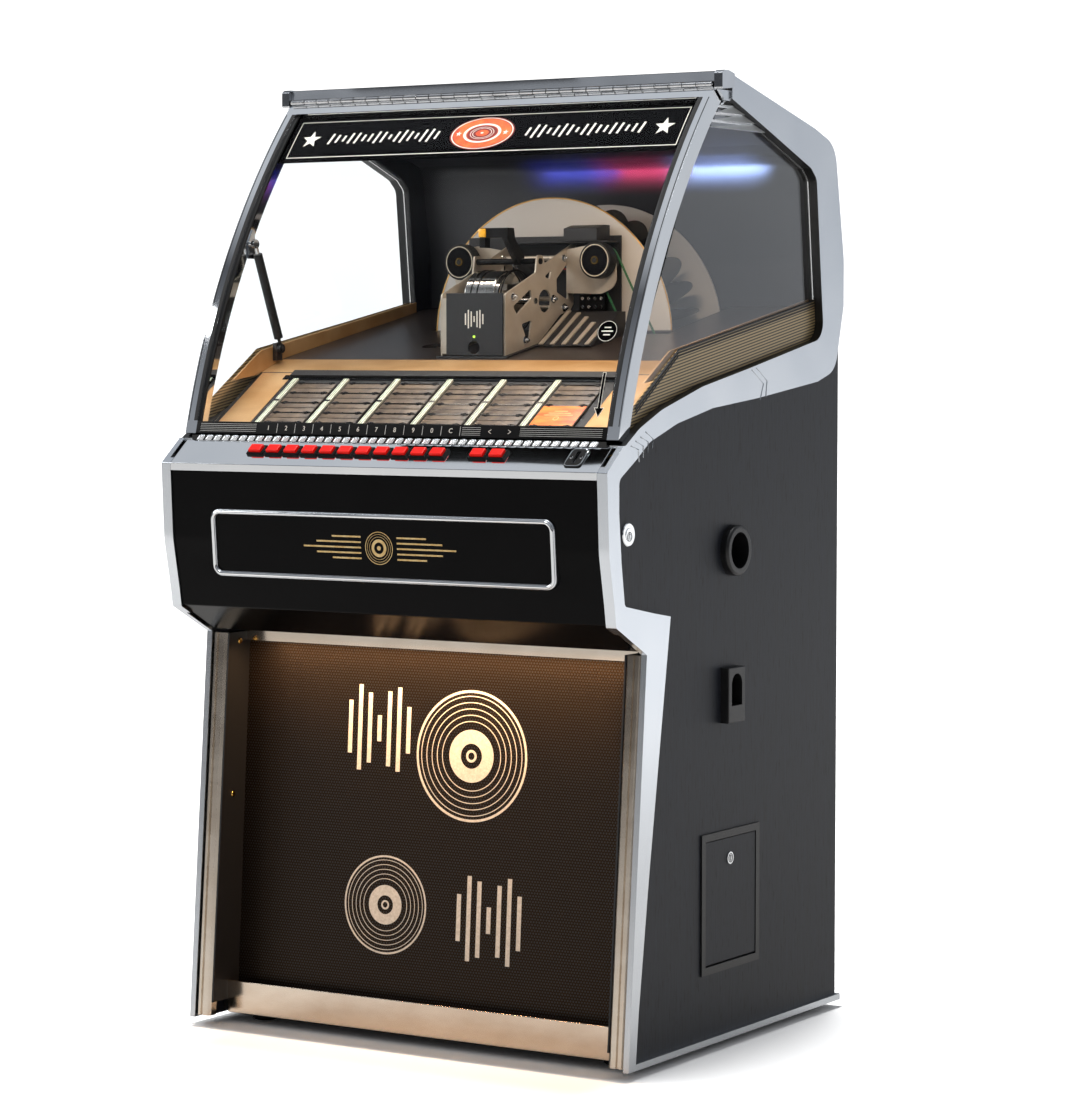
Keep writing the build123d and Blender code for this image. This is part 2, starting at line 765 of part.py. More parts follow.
def title_rack():
    """Sloping tray with the title holders, the gilt fascia above it and the gilt sills."""
    tray = board([rack_line(0), rack_line(1), rack_line(1, -rack_plate),
                  rack_line(0, -rack_plate)], -inner + fit, inner - fit)
    fascia = board([rack_line(1, -rack_plate), rack_line(1), (deck_front[0] - fit,
                                                            deck_front[1]),
                    (deck_front[0] - fit, deck_front[1] - 3)], -inner + fit, inner - fit)
    pieces = [tray + fascia]
    head = board([rack_line(0.9, fit), rack_line(0.99, fit), rack_line(0.99, 6),
                  rack_line(0.9, 6)], -rack_half, rack_half)
    pieces.append(head)
    run = hypot(rack_high[0] - rack_low[0], rack_high[1] - rack_low[1])
    tilt = atan2(rack_high[1] - rack_low[1], rack_high[0] - rack_low[0])
    width, depth, thick = holder_size
    for column in range(holder_columns):
        x = holder_first_x + column * holder_pitch
        strip_y, strip_z = rack_line(0.49, fit)
        spot = Plane(origin=(x, strip_y, strip_z), x_dir=(1, 0, 0),
                     z_dir=(0, -sin(tilt), cos(tilt)))
        pieces.append(spot * (Pos(0, 0, 2) * Box(separator_width, run * 0.74, 4)))
        for row in range(holder_rows):
            share = 0.2 + row * (depth + 1.5) / run
            y, z = rack_line(share, fit)
            spot = Plane(origin=(x + holder_pitch / 2, y, z), x_dir=(1, 0, 0),
                         z_dir=(0, -sin(tilt), cos(tilt)))
            pieces.append(spot * (Pos(0, 0, thick / 2) * Box(width, depth, thick)))
    sill = board([(-232, 1046), (-153, 1095), (264, 1172), (306, 1179), (306, deck_z(306)),
                  (deck_front[0], deck_front[1] + fit), (-164, 1054)],
                 inner - sill_sheet - fit, inner - fit)
    sill -= door_zone
    return pieces, pair(sill)


# Mechanism

def magazine_rear_y():
    return magazine_front_y + disc_sheet + 2 * record_radius + 2 * record_play + disc_sheet


def magazine():
    """Record drum: two discs on a hub, thin fins between the records, and its shaft."""
    front, rear = magazine_front_y, magazine_rear_y()
    x, z = magazine_x, magazine_z
    body = rod_y(front, front + disc_sheet, x, z, magazine_radius)
    body += rod_y(rear - disc_sheet, rear, x, z, magazine_radius - 6)
    body += rod_y(front, rear, x, z, hub_radius)
    fin = block(0, fin_height, front + disc_sheet, rear - disc_sheet, -fin_sheet / 2,
                fin_sheet / 2)
    step = 360 / record_count
    for index in range(record_count):
        placed = Pos(x, 0, z) * Rot(0, (index + 0.5) * step, 0) * (Pos(hub_radius - 1, 0, 0) * fin)
        body += placed
    body += rod_y(backboard_y - 10, front, x, z, shaft_radius)
    body += rod_y(rear, back_y - lining_setback - 1, x, z, shaft_radius)
    return body


def records():
    y = magazine_front_y + disc_sheet + record_play + record_radius
    discs = []
    step = 360 / record_count
    for index in range(record_count):
        flat = Plane(origin=(0, 0, -record_thickness / 2)) * Circle(record_radius)
        flat -= Plane(origin=(0, 0, -record_thickness / 2)) * Circle(19)
        disc = extrude(flat, record_thickness)
        discs.append(Pos(magazine_x, 0, magazine_z) * Rot(0, index * step, 0)
                     * (Pos(record_orbit, y, 0) * disc))
    return discs


def cut_plate(x):
    """Laser-cut side plate of the player, standing on the sloping deck."""
    foot = deck_z(mech_front_y) + mech_foot
    outline = [(mech_front_y, foot + fit), (mech_front_y, 1186), (13, 1222), (18, 1251),
               (34, 1251), (41, 1237), (125, 1271), (136, 1271), (131, 1172), (117, 1158),
               (91, 1155), (20, deck_z(20) + mech_foot + fit)]
    plate = board(outline, x, x + mech_plate, [0, 8, 0, 5, 5, 0, 6, 0, 6, 10, 20, 0])
    holes = [
        ([(-57, 1166), (-2, 1196), (0, 1180), (-44, 1153)], 4),
        ([(-31, 1138), (1, 1145), (-10, 1104)], 3),
        ([(39, 1216), (62, 1228), (56, 1212)], 2),
        ([(109, 1238), (115, 1236), (113, 1178), (78, 1191), (77, 1213)], 4),
    ]
    for points, radius in holes:
        plate -= board(points, x - 1, x + mech_plate + 1, radius)
    plate -= rod_x(x - 1, x + mech_plate + 1, 41, 1176, 19)
    plate -= rod_x(x - 1, x + mech_plate + 1, turntable_y, turntable_z, axle_radius + axle_play)
    plate -= rod_x(x - 1, x + mech_plate + 1, gripper_y - 19, gripper_z + 4, axle_radius
                   + axle_play)
    return plate


def rod_places():
    return [(-57, 1182), (-20, 1112), (66, 1180), (100, 1248), (100, 1166)]


def side_plates():
    left = cut_plate(plate_left_x)
    right = cut_plate(plate_right_x)
    pieces = [left, right]
    for y, z in rod_places():
        pieces.append(rod_x(plate_left_x + mech_plate, plate_right_x, y, z, rod_radius))
    flange = board([(mech_front_y + 3, 1090), (mech_front_y + 3, 1180),
                    (mech_front_y + 0.2, 1180), (mech_front_y + 0.2, 1090)],
                   plate_left_x + mech_plate, plate_left_x + mech_plate + 12)
    pieces.append(flange)
    centre = (plate_left_x + plate_right_x + mech_plate) / 2
    reach = wheel_x - (plate_right_x - centre) - mech_plate
    face = Plane.XZ * make_face(FilletPolyline(
        (0, 1190), (0, 1262), (reach - 20, 1270), (reach + 24, 1262), (reach + 26, 1200),
        (reach - 4, 1188), radius=[0, 4, 20, 24, 24, 20], close=True))
    start = plate_right_x + mech_plate - centre
    arm = Pos(start, bracket_y + mech_plate, 0) * extrude(face, mech_plate)
    for side_arm in pair(arm):
        side_arm = Pos(centre, 0, 0) * side_arm
        for x in (-wheel_x, wheel_x):
            side_arm -= rod_y(0, 300, x + centre, wheel_z, wheel_axle + axle_play)
        pieces.append(side_arm)
    return pieces, centre


def guard_line(share):
    return (2 + 92 * share, deck_z(2) + mech_foot + (1156 - deck_z(2)) * share)


def mech_covers(centre):
    """Black sheet parts: foot plate, front cover, rear board, and the slatted guard."""
    foot = board([(mech_front_y - 4, deck_z(mech_front_y - 4) + 0.05), (128, deck_z(128) + 0.05),
                  (128, deck_z(128) + mech_foot), (mech_front_y - 4, deck_z(mech_front_y - 4)
                                                   + mech_foot)],
                 plate_left_x - 6, plate_right_x + mech_plate + 6)
    cover = block(plate_left_x + 13, plate_right_x + mech_plate - 3, mech_front_y - 3.3,
                  mech_front_y - fit, deck_z(mech_front_y) + mech_foot + 1, mech_cover_top)
    cover -= rod_y(mech_front_y - 10, mech_front_y + 5, centre + 4, 1100, 11)
    low = deck_z(backboard_y + backboard_sheet) + 0.3
    rear = block(centre - 150, centre + 150, backboard_y, backboard_y + backboard_sheet, low,
                 1285)
    rear += rod_y(backboard_y - 8, backboard_y + 1, magazine_x, magazine_z, shaft_radius + 9)
    rear += block(magazine_x - 24, magazine_x + 24, backboard_y, backboard_y + backboard_sheet,
                  magazine_z - 24, low + 20)
    rear -= rod_y(0, 400, magazine_x, magazine_z, shaft_radius + axle_play)
    head = board([(96, 1276), (96, 1296), (120, 1302), (backboard_y, 1302), (backboard_y, 1276)],
                 48, 112)
    ledge = block(centre - 60, centre + 146, 100, backboard_y, 1273, 1276)
    a, b = guard_line(0), guard_line(1)
    x0, x1 = plate_right_x + mech_plate + 7, plate_right_x + mech_plate + 112
    skin = board([a, b, (guard_back, b[1]), (guard_back, b[1] - 2), (b[0], b[1] - 2),
                  (a[0] + 3, a[1])], x0, x1)
    cheek = board([(a[0] + 3, a[1]), b, (guard_back, b[1]),
                   (guard_back, deck_z(guard_back) + 0.2),
                   (a[0] + 4, deck_z(a[0] + 4) + 0.2)], x1 - 2, x1)
    return [foot, cover, rear + head + ledge, skin + cheek]


def guard_slats():
    a, b = guard_line(0), guard_line(1)
    tilt = atan2(b[1] - a[1], b[0] - a[0])
    length = hypot(b[0] - a[0], b[1] - a[1])
    slats = []
    for index, share in enumerate((0.98, 0.92, 0.8, 0.64, 0.46)):
        x = plate_right_x + mech_plate + 15 + index * 22
        spot = Plane(origin=(x, a[0], a[1]), x_dir=(0, cos(tilt), sin(tilt)),
                     z_dir=(0, -sin(tilt), cos(tilt)))
        bar = Pos(length * share / 2 + 2, 0, 1.3) * Box(length * share, 8, 2)
        slats.append(spot * bar)
    return slats


def turntable():
    """Flywheel with its platter on a cross axle between the side plates."""
    x0 = plate_left_x + mech_plate + 14
    y, z = turntable_y, turntable_z
    body = rod_x(x0, x0 + turntable_width, y, z, turntable_radius)
    body = fillet(body.edges().filter_by(GeomType.CIRCLE), 3)
    body += rod_x(x0 + turntable_width - 1, x0 + turntable_width + 6, y, z, platter_radius)
    body += rod_x(plate_left_x - 2, plate_right_x + mech_plate + 2, y, z, axle_radius)
    return body


def gripper():
    """Arm that lifts a record out of the drum, on its own cross axle."""
    y, z = gripper_y - 19, gripper_z + 4
    axle = rod_x(plate_left_x - 2, plate_right_x + mech_plate + 2, y, z, axle_radius)
    arm = board([(y - 8, z - 8), (y - 46, z + 36), (y - 46, z + 54), (y - 26, z + 54),
                 (y - 22, z + 36), (y + 8, z + 6)], 2, 12, [4, 4, 3, 3, 6, 4])
    head = block(-42, 12, y - 46, y - 26, z + 38, z + 54)
    jaw_part = block(-42, -32, y - 46, y - 30, z + 22, z + 40)
    return axle + arm + head + jaw_part


def tonearm():
    y, z = tonearm_y, tonearm_z
    boss = rod_x(16, 30, y, z, 9)
    tube = board([(y, z - 3.5), (turntable_y + 20, turntable_z + 20),
                  (turntable_y + 20, turntable_z + 27), (y, z + 3.5)], 20, 26)
    shell = block(14, 28, turntable_y + 2, turntable_y + 24, turntable_z + 18,
                  turntable_z + 28)
    pin = rod_x(30, plate_right_x - fit, y, z, 4)
    return boss + tube + shell + pin


def wheel(x):
    """Rubber-faced drive wheel on its axle, in front of its bracket."""
    body = rod_y(wheel_y, wheel_y + wheel_width, x, wheel_z, wheel_radius)
    body = fillet(body.edges().filter_by(GeomType.CIRCLE), 2)
    body += rod_y(wheel_y - 3, bracket_y + mech_plate + 14, x, wheel_z, wheel_axle)
    body += rod_y(bracket_y + mech_plate + 3, bracket_y + mech_plate + 5, x, wheel_z,
                  pulley_radius + 2)
    body += rod_y(bracket_y + mech_plate + 5, bracket_y + mech_plate + 12, x, wheel_z,
                  pulley_radius)
    return body


def motor_pulley():
    body = rod_y(116, 123, motor_pulley_x, motor_pulley_z, pulley_radius)
    body += rod_y(114, 116, motor_pulley_x, motor_pulley_z, pulley_radius + 2)
    return body + rod_y(104, 116, motor_pulley_x, motor_pulley_z, 4)


def motor():
    """Drive motor hung under the deck, with the bracket that holds it."""
    can = rod_y(44, 100, motor_pulley_x, motor_pulley_z, 26)
    can -= rod_y(90, 110, motor_pulley_x, motor_pulley_z, 4.1)
    arm = board([(70, motor_pulley_z + 10), (70, deck_z(70) - deck_thickness - 0.05),
                 (84, deck_z(84) - deck_thickness - 0.05), (84, motor_pulley_z + 10)],
                motor_pulley_x - 26, motor_pulley_x - 10)
    return can + arm


def belt(centre):
    """Green belt from the right drive wheel down to the motor pulley."""
    top = (wheel_x + centre, wheel_z)
    low = (motor_pulley_x, motor_pulley_z)
    run = hypot(top[0] - low[0], top[1] - low[1])
    turn = degrees(atan2(top[1] - low[1], top[0] - low[0]))
    reach = pulley_radius + fit

    def loop(radius):
        return SlotCenterToCenter(run, 2 * radius)

    ring = loop(reach + belt_sheet) - loop(reach)
    middle = ((top[0] + low[0]) / 2, 117, (top[1] + low[1]) / 2)
    spot = Plane(origin=middle, x_dir=(cos(radians(turn)), 0, sin(radians(turn))),
                 z_dir=(0, 1, 0))
    return extrude(spot * ring, belt_width)


# Gas strut

strut_run = (strut_head[0] - strut_foot[0], strut_head[1] - strut_foot[1])
strut_length = hypot(*strut_run)


def along_strut(start, end, radius, x=None):
    share = start / strut_length
    origin = (strut_x, strut_foot[0] + strut_run[0] * share, strut_foot[1]
              + strut_run[1] * share)
    spot = Plane(origin=origin, x_dir=(1, 0, 0), z_dir=(0, *strut_run))
    return extrude(spot * Circle(radius), end - start)


def strut_tube():
    body = along_strut(strut_neck, strut_tube_end, strut_tube_radius)
    body -= along_strut(strut_tube_end - strut_bore_depth, strut_tube_end + 1,
                        strut_rod_radius + strut_play)
    half_eye = strut_eye_width / 2
    eye = rod_x(strut_x - half_eye, strut_x + half_eye, *strut_foot, strut_eye_radius)
    body += eye + along_strut(4, strut_neck + 1, strut_neck_radius)
    return body - rod_x(strut_x - 10, strut_x + 10, *strut_foot, strut_pin_radius + strut_play)


def strut_rod():
    half_eye = strut_eye_width / 2
    body = along_strut(strut_tube_end - strut_bore_depth + 3, strut_length - 4, strut_rod_radius)
    eye = rod_x(strut_x - half_eye, strut_x + half_eye, *strut_head, strut_eye_radius)
    return body + eye


def strut_mounts():
    """Foot bracket on the deck's edge, and the stud plate on the door's left rail."""
    y, z = strut_foot
    half_eye = strut_eye_width / 2
    foot = block(-inner + sill_sheet + 2 * fit, strut_x - half_eye - 0.5, y - 8, y + 8,
                 deck_front[1] - 2, z + 9)
    foot -= board([(y - 20, deck_z(y - 20) + 0.05), (y + 20, deck_z(y + 20) + 0.05),
                   (y + 20, 1000), (y - 20, 1000)], -inner, inner)
    foot &= block(-inner, inner, y - 8, y + 8, 1000, z + 9)
    pin = rod_x(strut_x - half_eye - 1, strut_x + half_eye + 2, y, z, strut_pin_radius)
    yd, zd = strut_head
    plate_x = -door_opening
    stud = block(plate_x, plate_x + 2.5, yd - 6, yd + 12, zd - 24, zd + 24)
    stud -= sector(-60, glass_setback + glass_thickness + 3, 170, 130, -500, 500)
    stud += rod_x(plate_x, strut_x - half_eye - 0.6, yd, zd, 4)
    return foot + pin, stud


# Door parts

def door_frame():
    ring = sector(0, door_depth, arc_low, arc_high, -door_half, door_half)
    ring -= sector(-5, door_depth + 5, arc_low + 1, top_angle, -door_opening, door_opening)
    leaf = sector(-0.5, 20, arc_high, arc_high - hinge_leaf / degree_length, -half + 4, half - 4)
    flap = hinge_half(leaf + board([on_arc(-0.5, arc_high), (hinge_y - 1, hinge_z - 3),
                                    (hinge_y + 3, hinge_z - 2), on_arc(6, arc_high)],
                                   -half + 4, half - 4), 1)
    return ring, flap


def door_parts():
    glass = sector(glass_setback, glass_setback + glass_thickness, rail_angle, top_angle,
                   -door_opening + fit, door_opening - fit)
    header = sector(glass_setback + glass_thickness + fit,
                    glass_setback + glass_thickness + fit + header_thickness,
                    header_angle, top_angle, -door_opening + fit, door_opening - fit)
    rail = sector(0, door_depth, arc_low, rail_angle, -door_opening, door_opening)
    return glass, header, rail


# Right-hand side fittings

def side_cup():
    y, z = cup_y, cup_z
    ring = rod_x(half + 0.05, half + cup_proud, y, z, cup_radius)
    ring = fillet(ring.edges().filter_by(GeomType.CIRCLE).group_by(Axis.X)[-1], 5)
    ring += rod_x(half - cup_depth, half + 1, y, z, cup_bore + cup_wall)
    ring -= rod_x(half - cup_depth + cup_wall, half + 40, y, z, cup_bore)
    tongue = board([(y - 12, z - 6), (y + 2, z - 8), (y + 14, z + 8), (y + 2, z + 6)],
                   half - cup_depth + 1, half - 6, [3, 3, 3, 3])
    return ring + tongue


def coin_return():
    y, z = return_y, return_z
    width, height = return_size
    body = block(half + 0.05, half + return_proud, y - width / 2, y + width / 2,
                 z - height / 2, z + height / 2)
    body = fillet(body.edges().group_by(Axis.X)[-1], 2)
    r = return_arch
    body += block(half - return_depth, half + 1, y - r - cup_wall, y + r + cup_wall,
                  z - r - cup_wall, z + 2 * r + cup_wall)
    pocket = board([(y - r, z - r), (y - r, z + 2 * r), (y + r, z + 2 * r), (y + r, z - r)],
                   half - return_depth + cup_wall, half + 40, [0, r * 0.98, r * 0.98, 0])
    return body - pocket


def cash_frame():
    width, height = cash_size
    y0, y1 = cash_y - width / 2, cash_y + width / 2
    z0, z1 = cash_z - height / 2, cash_z + height / 2
    frame = block(half + 0.05, half + 3, y0, y1, z0, z1)
    frame += block(half - 12, half + 1, y0 + cash_rim + fit, y1 - cash_rim - fit,
                   z0 + cash_rim + fit, z1 - cash_rim - fit)
    frame -= block(half - 20, half + 10, y0 + cash_rim + cash_lip, y1 - cash_rim - cash_lip,
                   z0 + cash_rim + cash_lip, z1 - cash_rim - cash_lip)
    return frame - rod_y(y0 + cash_rim, y1 - cash_rim, half - 1, cash_hinge_z,
                         cash_pin_radius + axle_play)


def cash_door_panel():
    """Drop-down door on a pin along its lower edge, which turns in the frame's sides."""
    width, height = cash_size
    edge = cash_rim + cash_lip + cash_door_gap
    y0, y1 = cash_y - width / 2 + edge, cash_y + width / 2 - edge
    z0, z1 = cash_z - height / 2 + edge, cash_z + height / 2 - edge
    panel = block(half - cash_door_sheet + 2, half + 2, y0, y1, z0, z1)
    panel -= rod_x(half - 30, half + 30, *cash_lock, lock_radius + lock_play)
    panel -= block(half - 30, half - 2, y0 - 1, y1 + 1, z0 - 1, z0 + 6)
    panel -= block(half - 30, half + 5, y0 - 1, y1 + 1, z0 - 1, z0 + cash_pin_radius)
    pin_over = cash_door_gap + 2
    return panel + rod_y(y0 - pin_over, y1 + pin_over, half - 1, cash_hinge_z, cash_pin_radius)


def key_lock(place, cam_turn, cam_length):
    """Barrel with a key slit outside and a flat cam inside, turned by cam_turn degrees."""
    y, z = place
    barrel = rod_x(half - 22, half + 4, y, z, lock_radius)
    barrel -= block(half + 1, half + 5, y - 1, y + 1, z - 4, z + 4)
    cam = block(half - 24, half - 21.5, -6, 6, -cam_length, 6)
    return barrel + Pos(0, y, z) * Rot(cam_turn, 0, 0) * cam


def escutcheon(place, radius):
    y, z = place
    ring = rod_x(half + 0.05, half + 3, y, z, radius)
    ring = chamfer(ring.edges().filter_by(GeomType.CIRCLE).group_by(Axis.X)[-1], 1.2)
    return ring - rod_x(half - 30, half + 30, y, z, lock_radius + lock_play)


def coin_works():
    """Sheet-metal coin gear inside the right side: acceptor, chute and cash box."""
    wall = 1.5
    x1 = half - 30
    x0 = x1 - 90
    y0, y1 = cash_y - 70, cash_y + 70
    z0, z1 = 116.0, 300.0
    box = block(x0, x1, y0, y1, z0, z1) - block(x0 + wall, x1 - wall, y0 + wall, y1 - wall,
                                               z0 + wall, z1 + 5)
    shelf_board = block(x0 - 10, inner - fit, y0 - 10, y1 + 10, z0 - 12.3, z0 - 0.3)
    acceptor = block(x0 + 10, x0 + 60, -60, 20, 640, 770)
    throat = block(x0 + 30, x0 + 42, -48, 8, z1 + 12, 640.0)
    throat -= block(x0 + 31.5, x0 + 40.5, -46.5, 6.5, z1 + 11, 642.0)
    hanger = block(x0 + 60, inner - fit, -60, 20, 700, 706)
    run_low = (-40.0, 770.0)
    run_high = (brow[0] + 24.0 + 18.0, brow[1] - 16.0)
    chute = board([run_low, run_high, (run_high[0], run_high[1] - 22), (run_low[0] - 20,
                                                                       run_low[1])],
                  coin_x - 8, coin_x + 8)
    return [box, shelf_board, acceptor + throat + hanger + chute]


def amplifier():
    z0 = base_bottom + base_thickness
    case = block(-330, -40, 90, 300, z0, z0 + 95)
    case = fillet(case.edges().filter_by(Axis.Z), 4)
    rear = back_y - back_inset
    inlet = block(inlet_x - 13.7, inlet_x + 13.7, rear - back_thickness - 16, rear + 2,
                  inlet_z - 9.7, inlet_z + 9.7)
    inlet += block(inlet_x - 25, inlet_x + 25, rear + 0.05, rear + 3, inlet_z - 13,
                   inlet_z + 13)
    inlet -= block(inlet_x - 12, inlet_x + 12, rear - 14, rear + 5, inlet_z - 8, inlet_z + 8)
    return case, inlet


def screws():
    """Dome-headed screws in the two cheeks beside the grille."""
    heads = []
    x = half - pilaster_gap - pilaster_width - cheek_thickness - fit
    for z in (365.0, 617.0):
        y = lower_front_line(z, 34)
        spot = Plane(origin=(x, y, z), x_dir=(0, 1, 0), z_dir=(-1, 0, 0))
        dome = extrude(spot * Circle(5), 2.2)
        dome = fillet(dome.edges().group_by(Axis.X)[0], 1.8)
        heads += pair(dome)
    return heads


def main():
    os.makedirs("parts", exist_ok=True)
    mech_pieces, centre = side_plates()
    floor, feet = base_and_feet()
    back, roof = rear_shell()
    frame, plate = nameplate()
    rack_pieces, sills = title_rack()
    ring, flap = door_frame()
    glass, header, rail = door_parts()
    strut_foot_part, strut_stud = strut_mounts()
    left_board = mirror(side_board(False), Plane.YZ)
    trims = pair(side_trim())

    save("base_panel", floor)
    save("feet", *feet)
    save("side_panel_left", left_board)
    save("side_panel_right", side_board(True))
    save("side_trim_left", trims[1])
    save("side_trim_right", trims[0])
    save("back_panel", back)
    save("roof_panel", roof)
    save("hood_lining", hood_lining())
    save("top_bar", *top_bar())
    save("side_windows", *pair(side_pane()))
    save("window_bands", *pair(window_band()))
    save("belly_panel", belly())
    save("nameplate", frame, plate)
    save("selector_shelf", shelf())
    save("shelf_fittings", *bezels_and_coin_plate(), *button_carrier())
    save("rib_strip", rib_strip())
    save("lower_chrome", *lower_chrome())
    save("speaker_grille", grille())
    save("speaker_baffle", *baffle())
    save("loudspeakers", *loudspeakers())
    save("deck_plate", deck(), strut_foot_part)
    save("title_rack", *rack_pieces, *sills)
    save("side_cups", side_cup(), coin_return(), cash_frame(), escutcheon(trim_lock,
                                                                         escutcheon_radius))
    save("coin_works", *coin_works())
    save("electrics", *amplifier(), motor())
    save("screws", *screws())
    save("mech_plates", *mech_pieces, *guard_slats())
    save("mech_covers", *mech_covers(centre))
    save("drive_belt", belt(centre))

    save("door_frame", ring + strut_stud, flap)
    save("door_glass", glass)
    save("door_header", header)
    save("number_rail", rail)
    save("strut_tube", strut_tube())
    save("strut_rod", strut_rod())
    for name, x in button_places():
        save(name, button(x))
    save("record_magazine", magazine())
    save("records", *records())
    save("turntable", turntable())
    save("gripper_arm", gripper())
    save("tonearm", tonearm())
    save("wheel_left", wheel(centre - wheel_x))
    save("wheel_right", wheel(centre + wheel_x))
    save("motor_pulley", motor_pulley())
    save("cash_door", cash_door_panel())
    save("cash_lock", key_lock(cash_lock, -90, 42))
    save("trim_lock", key_lock(trim_lock, 0, 16))


main()
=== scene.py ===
from math import atan2, cos, pi, radians, sin

import bmesh
import bpy
from mathutils import Matrix, Vector


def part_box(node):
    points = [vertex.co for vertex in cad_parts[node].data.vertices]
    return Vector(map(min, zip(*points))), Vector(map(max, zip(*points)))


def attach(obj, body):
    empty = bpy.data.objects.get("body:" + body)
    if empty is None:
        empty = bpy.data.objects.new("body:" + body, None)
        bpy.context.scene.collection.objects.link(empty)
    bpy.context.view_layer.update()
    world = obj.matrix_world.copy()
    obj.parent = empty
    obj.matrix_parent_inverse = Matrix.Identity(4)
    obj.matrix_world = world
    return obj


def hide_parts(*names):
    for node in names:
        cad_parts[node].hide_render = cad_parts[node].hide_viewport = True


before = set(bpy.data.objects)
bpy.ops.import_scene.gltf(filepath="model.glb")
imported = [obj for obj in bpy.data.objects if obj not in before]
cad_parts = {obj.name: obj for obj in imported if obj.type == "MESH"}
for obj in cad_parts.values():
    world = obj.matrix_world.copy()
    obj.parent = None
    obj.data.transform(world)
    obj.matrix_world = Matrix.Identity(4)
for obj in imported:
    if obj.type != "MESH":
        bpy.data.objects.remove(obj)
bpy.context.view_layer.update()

# Studio: a pale floor under soft light. The camera stands 1.1 m high, about 32 degrees to the
# right of the cabinet's front, and looks slightly down.
scene = bpy.context.scene
camera = bpy.data.objects.new("camera", bpy.data.cameras.new("camera"))
scene.collection.objects.link(camera)
scene.camera = camera
camera.location = (3.0410, -4.7476, 1.1189)
camera.rotation_euler = (radians(90 - 3.616), 0, radians(32.093))
camera.data.sensor_width = 36
camera.data.lens = 110.18
camera.data.clip_end = 60
scene.view_settings.view_transform = "Standard"


def linear(code):
    """A hex colour of the sRGB screen, as the linear colour that shaders take."""
    channels = [int(code[i:i + 2], 16) / 255 for i in (0, 2, 4)]
    straight = [c / 12.92 if c <= 0.04045 else ((c + 0.055) / 1.055) ** 2.4 for c in channels]
    return (*straight, 1)


def add(tree, kind, settings=None, links=None):
    """Adds a node: settings name its properties and sockets, links its incoming wires."""
    made = tree.nodes.new("ShaderNode" + kind)
    for name, value in (settings or {}).items():
        if isinstance(name, int) or name in made.inputs:
            made.inputs[name].default_value = value
        else:
            setattr(made, name, value)
    for name, source in (links or {}).items():
        tree.links.new(source, made.inputs[name])
    return made


def calc(tree, operation, *sides):
    """One step of arithmetic, whose sides are sockets or plain numbers."""
    plain = {i: side for i, side in enumerate(sides) if isinstance(side, (int, float))}
    wired = {i: side for i, side in enumerate(sides) if i not in plain}
    return add(tree, "Math", {"operation": operation, **plain}, wired).outputs[0]


def ramp(tree, source, *stops):
    """A colour ramp over stops of a place and a hex colour, the two ends first."""
    made = add(tree, "ValToRGB", links={0: source})
    marks = made.color_ramp.elements
    for mark, (place, _) in zip(marks[:], stops):
        mark.position = place
    for mark, (_, colour) in zip(marks[:], stops):
        mark.color = linear(colour)
    for place, colour in stops[2:]:
        marks.new(place).color = linear(colour)
    return made.outputs[0]


def straight_view(tree):
    """1 for what the camera sees, directly or through glass; 0 in reflections and for light."""
    path = add(tree, "LightPath").outputs
    bounces = calc(tree, "ADD", path["Glossy Depth"], path["Diffuse Depth"])
    through = calc(tree, "MULTIPLY", calc(tree, "LESS_THAN", bounces, 0.5),
                   path["Is Transmission Ray"])
    seen = calc(tree, "MAXIMUM", through, path["Is Camera Ray"])
    return seen, calc(tree, "GREATER_THAN", path["Glossy Depth"], 0.5)


def studio_world():
    """White behind the cabinet, soft daylight for matt faces, and a grey room in reflections."""
    world = bpy.data.worlds.new("studio")
    world.use_nodes = True
    tree = world.node_tree
    tree.nodes.clear()
    seen, mirrored = straight_view(tree)
    place = add(tree, "TexCoord")
    height = add(tree, "SeparateXYZ", links={0: place.outputs["Generated"]})
    walls = ramp(tree, height.outputs["Z"], (0.0, "4c4e52"), (0.85, "c9cdd3"), (0.2, "34363a"),
                 (0.3, "a0a3a8"), (0.46, "85898f"), (0.66, "56585d"), (0.76, "c0c4ca"))
    room = add(tree, "Background", {"Strength": 1.0}, {"Color": walls})
    soft = add(tree, "Background", {"Color": linear("f0f1f4"), "Strength": 0.24})
    white = add(tree, "Background", {"Color": (1, 1, 1, 1), "Strength": 1.35})
    lit = add(tree, "MixShader", links={0: mirrored, 1: soft.outputs[0], 2: room.outputs[0]})
    mix = add(tree, "MixShader", links={0: seen, 1: lit.outputs[0], 2: white.outputs[0]})
    add(tree, "OutputWorld", links={"Surface": mix.outputs[0]})
    scene.world = world


def softbox(name, place, target, size, power, colour="ffffff"):
    """An area lamp that shines at a target."""
    lamp = bpy.data.lights.new(name, "AREA")
    lamp.shape = "RECTANGLE"
    lamp.size, lamp.size_y = size
    lamp.energy = power
    lamp.color = linear(colour)[:3]
    holder = bpy.data.objects.new(name, lamp)
    holder.location = place
    aim = Vector(target) - Vector(place)
    holder.rotation_euler = aim.to_track_quat("-Z", "Y").to_euler()
    scene.collection.objects.link(holder)
    return holder


studio_world()
softbox("key_left", (-3.7, -2.2, 2.7), (0, 0, 0.9), (1.6, 2.2), 75)
softbox("side_wall", (1.9, 2.8, 1.0), (0.42, 0, 0.8), (2.6, 2.2), 11, "eff3f9")
softbox("overhead", (-0.3, -1.3, 4.2), (0, -0.1, 0.9), (1.6, 1.0), 30)
sun = bpy.data.lights.new("ceiling", "SUN")
sun.energy = 2.6
sun.angle = radians(14)
ceiling = bpy.data.objects.new("ceiling", sun)
ceiling.rotation_euler = Vector((0.07, -0.15, -1)).to_track_quat("-Z", "Y").to_euler()
scene.collection.objects.link(ceiling)


